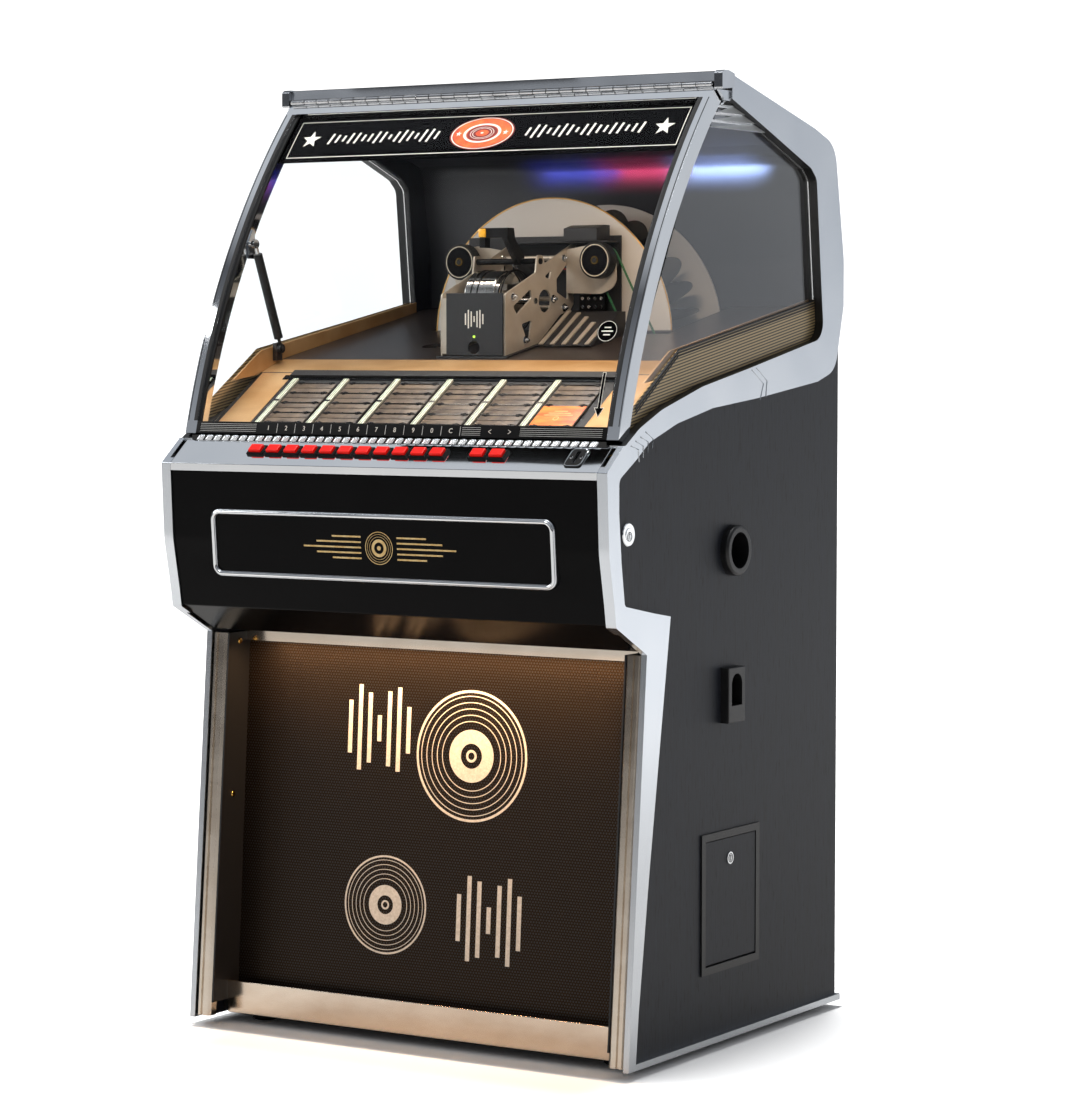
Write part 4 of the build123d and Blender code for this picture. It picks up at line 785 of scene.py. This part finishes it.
def plate_or_frame(centre, out):
    """0 for the bright frame, 1 for the black plate inside it."""
    local = plate_spot.inverted() @ centre
    inside = abs(local.x) < plate_half.x and abs(local.y) < plate_half.y and local.z < -0.0038
    return 1 if inside else 0


dress("nameplate", satin_silver, belly_black, edge=0, pick=plate_or_frame)


def rounded_path(spot, half_x, half_y, corner, steps=8):
    """Points of a rounded rectangle on a matrix's xy plane."""
    points = []
    for turn, (x, y) in enumerate(((1, 1), (-1, 1), (-1, -1), (1, -1))):
        for step in range(steps + 1):
            angle = (turn + step / steps) * pi / 2
            points.append(spot @ Vector((x * (half_x - corner) + corner * cos(angle),
                                         y * (half_y - corner) + corner * sin(angle), 0)))
    return points


frame_bead = bmesh.new()
bead_path = shifted(plate_spot, 0, 0, -0.0010)
tube(frame_bead, rounded_path(bead_path, 0.3200, 0.0495, 0.014), 0.0030, 0, 14, closed=True)
make("frame_bead", frame_bead, "cabinet", chrome)
plate_print = bmesh.new()
plate_skin = shifted(plate_spot, 0, 0, -0.0040)
for reach, width in ((0.026, 0.0012), (0.022, 0.0006), (0.018, 0.0006), (0.014, 0.005),
                     (0.0035, 0.0035)):
    ring(plate_print, plate_skin, reach, width)
for side in (-1, 1):
    for row, long in enumerate((0.055, 0.085, 0.110, 0.085, 0.055)):
        y = (row - 2) * 0.0085
        brick(plate_print, plate_skin, (side * 0.034, y - 0.0013, 0),
              (side * (0.034 + long), y + 0.0013, 0.0002))
make("plate_print", plate_print, "cabinet", gold_print)

# Selector shelf: a bent and chromed sheet, with thirteen black bezels and red keys, and the
# coin plate at the right end.
dress("selector_shelf", chrome, edge=0.0008)
bezel_black = coat("black moulded ABS", "0b0b0c", 0.3, 1, "09090a", "0f0f10", bump=0.15,
                   rough=(0.26, 0.38), Specular_IOR_Level=0.2)
dress("shelf_fittings", bezel_black, edge=0.0005)
# The keys carry a faint red emission, a painted glow: no lamp lights them from inside.
key_red_painted_glow = coat("red translucent acrylic, painted glow", "e8120a", 0.3, 25, "dd0d06", "f2190e",
               rough=(0.26, 0.34), Specular_IOR_Level=0.3, Subsurface_Weight=0.2,
               Emission_Strength=0.08, Emission_Color=linear("ff1808"))
for name in [f"button_{digit}" for digit in "1234567890"] + ["button_clear", "button_left",
                                                             "button_right"]:
    dress(name, key_red_painted_glow, edge=0.0006)
slope = atan2(0.037, 0.046)
slope_up = Vector((0, cos(slope), sin(slope)))
slope_out = Vector((0, -sin(slope), cos(slope)))
coin_detail = bmesh.new()
coin_place = Vector((0.352, -0.383, 0.927)) + slope_up * 0.031 + slope_out * 0.00205
coin_spot = plane_at(coin_place, slope_up, slope_out)
for x in (-0.0022, 0.0022):
    brick(coin_detail, coin_spot, (x - 0.0006, -0.0130, 0), (x + 0.0006, 0.0130, 0.0006), 0)
for x in (-0.0088, 0.0088):
    cross_head(coin_detail, coin_spot @ Vector((x, 0, 0)), slope_out, 0.0026, 1, 2)
tube(coin_detail, rounded_path(coin_spot, 0.0143, 0.0195, 0.0075), 0.0007, 1, 8, closed=True)
brass = coat("polished brass", "e0b35c", 0.16, 10, "d6a64c", "eac172", metallic=1.0,
             rough=(0.12, 0.22))
make("coin_detail", coin_detail, "cabinet", chrome, chrome, painted_recess_shade)

# Rib strip: a pressed chrome moulding between shelf and door, with slanted ribs close together.
# The gloss black backing between the ribs is painted shade.
rib_low, rib_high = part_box("rib_strip")
rib_back = bmesh.new()
section = [(-0.3378, 0.9632), (-0.3384, 0.9712), (-0.3264, 0.9688), (-0.3260, 0.9602)]
skin(rib_back, [[Vector((x, y, z)) for y, z in section] for x in (rib_low.x, rib_high.x)])
rib_pitch = 0.0169
ribs = int((rib_high.x - rib_low.x - 0.012) / rib_pitch)
for index in range(ribs):
    x = rib_low.x + 0.010 + index * rib_pitch
    for share in range(5):
        swell = 0.0023 if 0 < share < 4 else 0.0017
        foot = Vector((x + share * 0.0026, -0.3374, 0.9636))
        bend = Vector((foot.x + 0.0046, -0.3378, 0.9700))
        tip = Vector((foot.x + 0.0110, -0.3270, 0.9678))
        tube(rib_back, [foot, bend, tip], swell, 1)
rib_piece = make("ribbed_strip", rib_back, "cabinet", gloss_black, chrome)
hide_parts("rib_strip")

# Pilasters, kick plate and top strip: folded steel with a warm polished plating, beside the
# dark recess of the grille.
warm_chrome = coat("warm nickel plate", "d6cabb", 0.18, (120, 60, 50), "cfc2b2", "ddd2c4",
                   metallic=1.0, detail=3, rough=(0.13, 0.24))
dress("lower_chrome", warm_chrome, edge=0.0006)

# Grille: a sheet of dark bronze perforated steel. Its holes are 3 mm across on a 5.2 mm
# staggered pitch, drawn in the material as painted shade: dull black spots for the dark seen
# through the holes, in a faintly shining sheet.
grille_bronze, tree, shader = coat_of("bronzed perforated steel", "33281e", 0.42, 0.6)
place = add(tree, "TexCoord")
split = add(tree, "SeparateXYZ", links={0: place.outputs["Object"]})
hole_pitch = 0.0052
row_pitch = hole_pitch * 0.866
columns = calc(tree, "DIVIDE", split.outputs["X"], hole_pitch)
rows = calc(tree, "DIVIDE", split.outputs["Z"], row_pitch * 2)
reaches = []
for shift in (0.0, 0.5):
    across = calc(tree, "PINGPONG", calc(tree, "ADD", columns, shift), 0.5)
    upward = calc(tree, "PINGPONG", calc(tree, "ADD", rows, shift), 0.5)
    pair = add(tree, "CombineXYZ", links={0: across, 1: calc(tree, "MULTIPLY", upward, 1.732)})
    reach = add(tree, "VectorMath", {"operation": "LENGTH"}, {0: pair.outputs[0]})
    reaches.append(reach.outputs["Value"])
nearest = calc(tree, "MINIMUM", *reaches)
hole = add(tree, "MapRange", {"From Min": 0.26, "From Max": 0.32},
           {"Value": nearest})
tree.links.new(ramp(tree, hole.outputs[0], (0.0, "050403"), (1.0, "2e241b")),
               shader.inputs["Base Color"])
tree.links.new(hole.outputs[0], shader.inputs["Metallic"])
relief = add(tree, "Bump", {"Strength": 0.6, "Distance": 0.0006},
             {"Height": hole.outputs[0]})
tree.links.new(relief.outputs[0], shader.inputs["Normal"])
dress("speaker_grille", grille_bronze, edge=0)
dress("speaker_baffle", laminate, edge=0.0006)

grille_low = Vector((0, -0.241, 0.069))
grille_high = Vector((0, -0.203, 0.643))
grille_up = (grille_high - grille_low).normalized()
grille_out = Vector((0, -grille_up.z, grille_up.y))

# Print on the grille: a cream design of two plain records set corner to corner, with a row
# of upright bars of uneven height in each of the other two corners.
grille_print = bmesh.new()
design_share = (0.352 - grille_low.z) / (grille_high.z - grille_low.z)
design_place = grille_low.lerp(grille_high, design_share) + grille_out * 0.0003
design = plane_at(design_place, grille_up, grille_out)
for x, y, size in ((0.068, 0.112, 1.0), (-0.088, -0.138, 0.76)):
    record_spot = shifted(design, x, y)
    for reach, width in ((0.105, 0.004), (0.096, 0.0014), (0.086, 0.0014), (0.076, 0.0014),
                         (0.066, 0.0014), (0.056, 0.0014), (0.042, 0.022), (0.010, 0.004)):
        ring(grille_print, record_spot, reach * size, width * size, sides=72)
bar_pitch = 0.019
for side in (-1, 1):
    for bar in range(7):
        tall = 0.018 + 0.052 * abs(sin(bar * 0.9 + 0.5))
        spot = shifted(design, side * (0.168 - bar * bar_pitch), -side * 0.146)
        brick(grille_print, spot, (-0.004, -tall, 0), (0.004, tall, 0.0002))
print_white = coat("off-white screen print", "d9cfc0", 0.5, 4, "cdc2b2", "e2d9cc")
make("grille_print", grille_print, "cabinet", print_white)

# Recess light: a warm strip under the belly washes down the grille and the cheeks beside it,
# whose dome screws are brass.
strip_glow = softbox("recess_strip", (0, -0.268, 0.640), (0, -0.210, 0.50), (0.70, 0.020), 2.9,
                     "ffc890")
strip_glow.data.spread = radians(128)
dress("screws", brass, edge=0)

# Loudspeakers behind the grille, bolted to its board. Baskets and cones share one dull black
# pulp finish, since hardly more than their outline shows through the holes.
cone_pulp = coat("black pulp paper", "1d1c1b", 0.85, 2.5, "171615", "262524", bump=0.5)
dress("loudspeakers", cone_pulp, edge=0)

# Title rack: a black tray with a brown moulded holder for each record. Its title cards lie in
# pairs, held at their edges by black bars with bracket ends; cream strips part the columns.
holder_bronze = coat("bronze-brown moulded plastic", "33261d", 0.3, 18, "2b2019", "3d2f24",
                     rough=(0.24, 0.38))
tray_black = coat("matt black tray", "15120f", 0.5, 5, "120f0d", "1b1714", rough=(0.4, 0.6))
gilt_sheet = coat("gilt anodised sheet", "c79a66", 0.34, (120, 60, 60), "c0925d", "cfa472",
                  metallic=0.45, detail=2, rough=(0.3, 0.38))
cream_strip = coat("cream separator strip", "d8d2bd", 0.4, 6, "c9c3ad", "e3decb")
rack_low = Vector((0, -0.300, 0.977))
rack_high = Vector((0, -0.155, 1.071))
rack_up = (rack_high - rack_low).normalized()
rack_out = Vector((0, -rack_up.z, rack_up.y))
rack_run = (rack_high - rack_low).length


def rack_spot(x, along, lift=0.0):
    """Matrix on the rack's slope, along it from its foot."""
    place = rack_low + rack_up * along + rack_out * lift + Vector((x, 0, 0))
    return plane_at(place, rack_up, rack_out)


holder_pitch = 0.1016
holder_first = -0.300


def rack_finish(centre, out):
    """0 holders, 1 tray, 2 gilt sheet, 3 separators."""
    local = rack_spot(0, 0).inverted() @ centre
    if abs(centre.x) > 0.3878 or centre.y > -0.156:
        return 2
    if local.y > rack_run * 0.88:
        return 1
    if local.z < 0.0002:
        return 2 if abs(centre.x) > 0.322 else 1
    column = (local.x - holder_first + 0.008) % holder_pitch
    return 3 if column < 0.016 else 0


dress("title_rack", holder_bronze, tray_black, gilt_sheet, cream_strip, edge=0.0004,
      pick=rack_finish)
row_pitch_along = 0.0285
first_row = rack_run * 0.2
card_half = 0.0388
cards = bmesh.new()
for column in range(6):
    x = holder_first + (column + 0.5) * holder_pitch
    for row in range(4):
        along = first_row + row * row_pitch_along
        spot = rack_spot(x, along, 0.0038)
        special = column == 5 and row < 2
        if not special:
            for low, high in ((0.0008, 0.0122), (-0.0122, -0.0008)):
                brick(cards, spot, (-card_half, low, 0), (card_half, high, 0.0005), 0, 0.0002)
        for up in (1, -1):
            if special and ((row == 0 and up == 1) or (row == 1 and up == -1)):
                continue
            edge_line = shifted(spot, 0, up * 0.0138)
            brick(cards, edge_line, (-0.024, -0.0007, 0), (0.024, 0.0007, 0.0010), 2)
            for end in (-1, 1):
                for x0, x1, half, high in ((0.024, 0.0365, 0.0016, 0.0016),
                                           (0.0275, 0.0325, 0.0034, 0.0012)):
                    brick(cards, edge_line, (end * x0, -half, 0), (end * x1, half, high), 2,
                          0.0003)
            ring(cards, shifted(edge_line, 0, 0, 0.0010), 0.0017, 0.0017, 2, 14)
        brick(cards, spot, (-card_half, -0.0003, 0), (card_half, 0.0003, 0.0006), 2)
special_along = first_row + row_pitch_along / 2
special_card = rack_spot(holder_first + 5.5 * holder_pitch, special_along, 0.0042)
brick(cards, special_card, (-0.0390, -0.0268, 0), (0.0390, 0.0268, 0.0006), 3, 0.0002)
for row, half in enumerate((0.012, 0.020, 0.026)):
    y = 0.012 - row * 0.0052
    brick(cards, special_card, (-half, y - 0.0008, 0.0006), (half, y + 0.0008, 0.0008), 4)
ring(cards, shifted(special_card, 0, -0.0075, 0.0006), 0.0050, 0.0012, 4, 28)
bronze_card = coat("brown title card", "7b6553", 0.42, 20, "483b30", "6a5846")
orange_card = coat("orange title card", "d4601f", 0.45, (60, 14, 14), "c4501a", "e8883a")
pale_card = coat("pale orange print", "f0b070", 0.45, 8, "e8a465", "f5bd80")
make("title_cards", cards, "cabinet", bronze_card, bronze_card, gloss_black, orange_card,
     pale_card)
rack_line = bmesh.new()
for x in (-0.3185, 0.3185):
    brick(rack_line, rack_spot(x, 0, 0.0003), (-0.0009, 0.006, 0),
          (0.0009, rack_run * 0.875, 0.0009))
# Painted shade: a gloss black bar across the rack's head stands in for the shade under the top
# edge of its recessed frame.
brick(rack_line, rack_spot(0, rack_run * 0.9, 0.0003), (-0.330, -0.006, 0),
      (0.330, 0.006, 0.0016), 2, 0.0004)
for side in (-1, 1):
    brick(rack_line, rack_spot(0, 0, 0.0002), (side * 0.3195, 0.004, 0),
          (side * 0.3825, rack_run * 0.98, 0.0006))
for column in range(6):
    spot = rack_spot(holder_first + column * holder_pitch, 0, 0.0043)
    for low, high in ((0.018, rack_run * 0.47), (rack_run * 0.51, rack_run * 0.86)):
        for x in (-0.0024, 0.0024):
            brick(rack_line, spot, (x - 0.0005, low, 0), (x + 0.0005, high, 0.0004), 1)
    brick(rack_line, spot, (-0.0048, rack_run * 0.478, 0), (0.0048, rack_run * 0.502, 0.0006), 2)
    brick(rack_line, spot, (-0.0068, 0.016, -0.004), (-0.0052, rack_run * 0.865, 0.0002), 2)
green_line = coat("green printed line", "4d7a56", 0.5, 6, "437049", "5a8862")
make("rack_lines", rack_line, "cabinet", gilt_sheet, green_line, gloss_black)

# Record drum: two painted steel discs on a hub, with thin fins that keep thirty records apart.
# The front disc has a bright rolled rim.
drum_grey = coat("light grey enamel", "c6c2bd", 0.35, 400, "c3bfba", "c9c5c0", detail=1,
                 rough=(0.32, 0.38))
dress("record_magazine", drum_grey, edge=0.0003)
vinyl = coat("pressed black vinyl", "0a0a0b", 0.14, 40, "08080a", "0e0e10", rough=(0.1, 0.2))
dress("records", vinyl, edge=0)


def facing_front(place):
    """Matrix at a place: x to the right, y up and z towards the front."""
    return Matrix.Translation(place) @ Matrix.Rotation(radians(90), 4, "X")


drum_centre = Vector((-0.011, 0.152, 1.131))
drum_spot = facing_front(drum_centre)
drum_rim = bmesh.new()
rim_radius = 0.2305
rim_turns = [2 * pi * i / 160 for i in range(160)]
rim_path = [drum_centre + Vector((rim_radius * cos(turn), 0, rim_radius * sin(turn)))
            for turn in rim_turns]
tube(drum_rim, rim_path, 0.0013, 0, 8, closed=True)
ring(drum_rim, drum_spot, 0.0560, 0.0020, 1, 64, 0.0010)
for turn in range(6):
    here = drum_centre + Vector((cos(turn * pi / 3) * 0.044, 0, sin(turn * pi / 3) * 0.044))
    cross_head(drum_rim, here, (0, -1, 0), 0.0035, 1, 2)
rim_gilt = coat("gilt rolled rim", "f0c074", 0.3, 30, "eab868", "f5cb86", metallic=0.6)
make("drum_rim", drum_rim, "magazine", rim_gilt, chrome, painted_recess_shade)

# Player: two champagne-plated steel plates on spacer rods carry the turntable, the gripper arm
# and the tonearm. Dark sheet covers close its front, back and sides.
champagne = coat("champagne plated steel", "c3b8a9", 0.36, 40, "bcb0a0", "cac0b2", metallic=0.6,
                 rough=(0.3, 0.4))
dress("mech_plates", champagne, edge=0.0003)
cover_black = coat("charcoal powder coat", "1b1b1d", 0.45, 1.2, "171719", "222225", bump=0.3,
                   rough=(0.38, 0.54))
dress("mech_covers", cover_black, edge=0.0004)
polished = coat("polished steel flywheel", "dcd8d2", 0.1, (4, 30, 30), "d2cdc6", "e6e3de",
                metallic=1.0, rough=(0.07, 0.15))
dress("turntable", polished, edge=0.0004)
dress("gripper_arm", bezel_black, edge=0.0004)
satin_metal = coat("satin aluminium", "b9babc", 0.3, 6, "aeb0b2", "c5c6c8", metallic=1.0,
                   rough=(0.25, 0.36))
dress("tonearm", satin_metal, edge=0.0004)
rod_ends = [(-0.057, 1.194), (-0.020, 1.124), (0.066, 1.192), (0.100, 1.260), (0.100, 1.178)]
mech_detail = bmesh.new()
for y, z in rod_ends:
    face = Vector((0.0461, y, z))
    for reach, radius, sides in ((0.0012, 0.0068, 20), (0.0052, 0.0048, 6), (0.0078, 0.0026, 14)):
        peg(mech_detail, face, face + Vector((reach, 0, 0)), radius, 0, sides)
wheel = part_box("turntable")
wheel_axis = Vector((0, (wheel[0].y + wheel[1].y) / 2, (wheel[0].z + wheel[1].z) / 2))
flywheel_rings = bmesh.new()
for x in (-0.048, -0.036, 0.006, 0.011):
    path = [wheel_axis + Vector((x, 0.0502 * cos(pi * i / 32), 0.0502 * sin(pi * i / 32)))
            for i in range(64)]
    tube(flywheel_rings, path, 0.0012, 0, 8, closed=True)
make("flywheel_rings", flywheel_rings, "turntable", bezel_black)
cover_face = facing_front((-0.0115, -0.0834, 1.158))
for bar in range(7):
    x = (bar - 3) * 0.0056
    tall = 0.004 + 0.011 * abs(sin(bar * 0.9 + 0.5))
    brick(mech_detail, cover_face, (x - 0.0012, -tall, 0), (x + 0.0012, tall, 0.0002), 2)
peg(mech_detail, (-0.0115, -0.0834, 1.1295), (-0.0115, -0.0846, 1.1295), 0.0022, 3, 14)
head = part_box("gripper_arm")
brick(mech_detail, Matrix.Identity(4), (0.0605, 0.1255, 1.172), (0.1095, 0.1378, 1.200), 1, 0.0008)
first_lead = 0.0667
lead_pitch = 0.0122
for column in range(4):
    x = first_lead + column * lead_pitch
    for z in (1.179, 1.193):
        cross_head(mech_detail, (x, 0.1255, z), (0, -1, 0), 0.0030, 0, 1)
spring_path = []
for i in range(120):
    share = i / 119
    centre = Vector((-0.050 + 0.030 * share, 0.060, 1.262 - 0.018 * share))
    turn = share * 2 * pi * 11
    spring_path.append(centre + Vector((0.0022 * sin(turn) * 0.5, 0.0028 * cos(turn),
                                        0.0028 * sin(turn))))
tube(mech_detail, spring_path, 0.0005, 0, 6)
wire_red = coat("red insulated wire", "a3201a", 0.4, 5, "941a15", "b02a22")
wire_blue = coat("blue insulated wire", "27477f", 0.4, 5, "203d70", "2f5290")


def bent(points, steps=10):
    """Points along a smooth curve through a few given ones."""
    path = [Vector(p) for p in points]
    path = [path[0] * 2 - path[1]] + path + [path[-1] * 2 - path[-2]]
    out = []
    for a, b, c, d in zip(path, path[1:], path[2:], path[3:]):
        for step in range(steps):
            t = step / steps
            out.append(0.5 * (2 * b + (c - a) * t + (2 * a - 5 * b + 4 * c - d) * t * t
                              + (3 * b - a - 3 * c + d) * t ** 3))
    return out + [path[-2]]


for index, finish in enumerate((1, 4, 5, 1)):
    x = first_lead + index * lead_pitch
    tube(mech_detail, bent([(x, 0.131, 1.200), (x - 0.004, 0.126, 1.222),
                            (x - 0.030, 0.121, 1.236 + index * 0.004),
                            (x - 0.075, 0.124, 1.240 + index * 0.003),
                            (x - 0.110, 0.134, 1.246)]), 0.0012, finish, 8)
led_green = coat("lit green indicator", "9fd24a", 0.3, 2, "8fc23c", "b0e05a",
                 Emission_Color=linear("b6e04a"), Emission_Strength=1.2)
make("mech_detail", mech_detail, "cabinet", chrome, bezel_black, cream_print, led_green, wire_red,
     wire_blue)
gripper_detail = bmesh.new()
sensor_yellow = coat("amber sensor lens", "e5a51d", 0.3, 4, "d99914", "efb52f")
head_spot = Vector((-0.042, head[0].y, head[1].z - 0.008))
brick(gripper_detail, Matrix.Translation(head_spot), (-0.0005, -0.0030, -0.0070),
      (0.0125, 0.0, 0.0070), 0, 0.0008)
brick(gripper_detail, Matrix.Translation(head_spot), (-0.0040, 0.0020, -0.0060),
      (0.0, 0.0130, 0.0060), 0, 0.0008)
make("gripper_detail", gripper_detail, "gripper_arm", sensor_yellow)

# Wheels: black rubber tyres on turned hubs with a cream ring and a brass cap.
cream_ring = coat("cream paint", "d9d0bb", 0.4, 6, "cdc3ac", "e3dbc9")
for side in ("left", "right"):
    dress(f"wheel_{side}", rubber, edge=0.0004)
    low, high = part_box(f"wheel_{side}")
    centre = Vector(((low.x + high.x) / 2, 0, (low.z + high.z) / 2))
    face_y = low.y + 0.003
    spot = facing_front((centre.x, face_y, centre.z))
    marks = bmesh.new()
    ring(marks, spot, 0.0262, 0.0010, 0, 56, 0.0004)
    ring(marks, spot, 0.0235, 0.0235, 2, 48, 0.0006)
    ring(marks, shifted(spot, 0, 0, 0.0006), 0.0068, 0.0016, 1, 32, 0.0008)
    peg(marks, (centre.x, face_y, centre.z), (centre.x, low.y + 0.0005, centre.z), 0.0024, 1, 20)
    make(f"wheel_{side}_marks", marks, f"wheel_{side}", cream_ring, brass, gloss_black)

belt_green = coat("green polyurethane belt", "1f5a38", 0.45, 5, "184b2e", "276a43")
dress("drive_belt", belt_green, edge=0)
dress("motor_pulley", satin_metal, edge=0.0003)

# Side fittings: black moulded cups, a drop-down cash door in a thin frame, and chromed locks.
fitting_black = coat("black textured ABS", "0e0e10", 0.38, 0.9, "0b0b0d", "141416", bump=0.35,
                     rough=(0.32, 0.46))


def on_side(place):
    """Matrix at a place of the right side: x to the back, y up and z outwards."""
    return Matrix([(*axis, run) for axis, run in zip(((0, 0, 1), (1, 0, 0), (0, 1, 0)), place)]
                  + [(0, 0, 0, 1)])


def fitting_finish(centre, out):
    """Only the raised ring round the front lock is chromed."""
    return 1 if centre.x > 0.409 and centre.y < -0.28 else 0


dress("side_cups", fitting_black, chrome, edge=0.0006, pick=fitting_finish)
dress("cash_door", black_ash, edge=0.0006)
cash_low, cash_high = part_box("cash_door")
door_line = bmesh.new()
line_spot = on_side((0.4112, (cash_low.y + cash_high.y) / 2,
                     (cash_low.z + cash_high.z) / 2 + 0.0015))
line_half_y = (cash_high.y - cash_low.y) / 2 + 0.0035
line_half_z = (cash_high.z - cash_low.z) / 2 + 0.0035
tube(door_line, rounded_path(line_spot, line_half_y, line_half_z, 0.003, 3), 0.0011, 0, 8,
     closed=True)
make("cash_door_line", door_line, "cabinet", gloss_black)
for name in ("trim_lock", "cash_lock"):
    dress(name, chrome, edge=0.0004)
    low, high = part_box(name)
    centre = Vector((high.x, (low.y + high.y) / 2, (low.z + high.z) / 2))
    if name == "cash_lock":
        centre.y = high.y - 0.010
    spot = on_side(centre)
    face = bmesh.new()
    # Painted shade: two thin dark rings and a slot on the lock's face stand in for its grooves and
    # keyway.
    ring(face, spot, 0.0072, 0.0012, 1, 32, 0.0002)
    ring(face, spot, 0.0046, 0.0006, 1, 28, 0.0002)
    brick(face, spot, (-0.0006, -0.0034, 0), (0.0006, 0.0034, 0.0002), 1)
    make(f"{name}_face", face, name, chrome, painted_recess_shade)

# Works inside: a plated coin chute and cash box. The amplifier, the motor and the power inlet
# are black.
dress("coin_works", plated, edge=0.0004)
dress("electrics", strut_black, edge=0.0006)
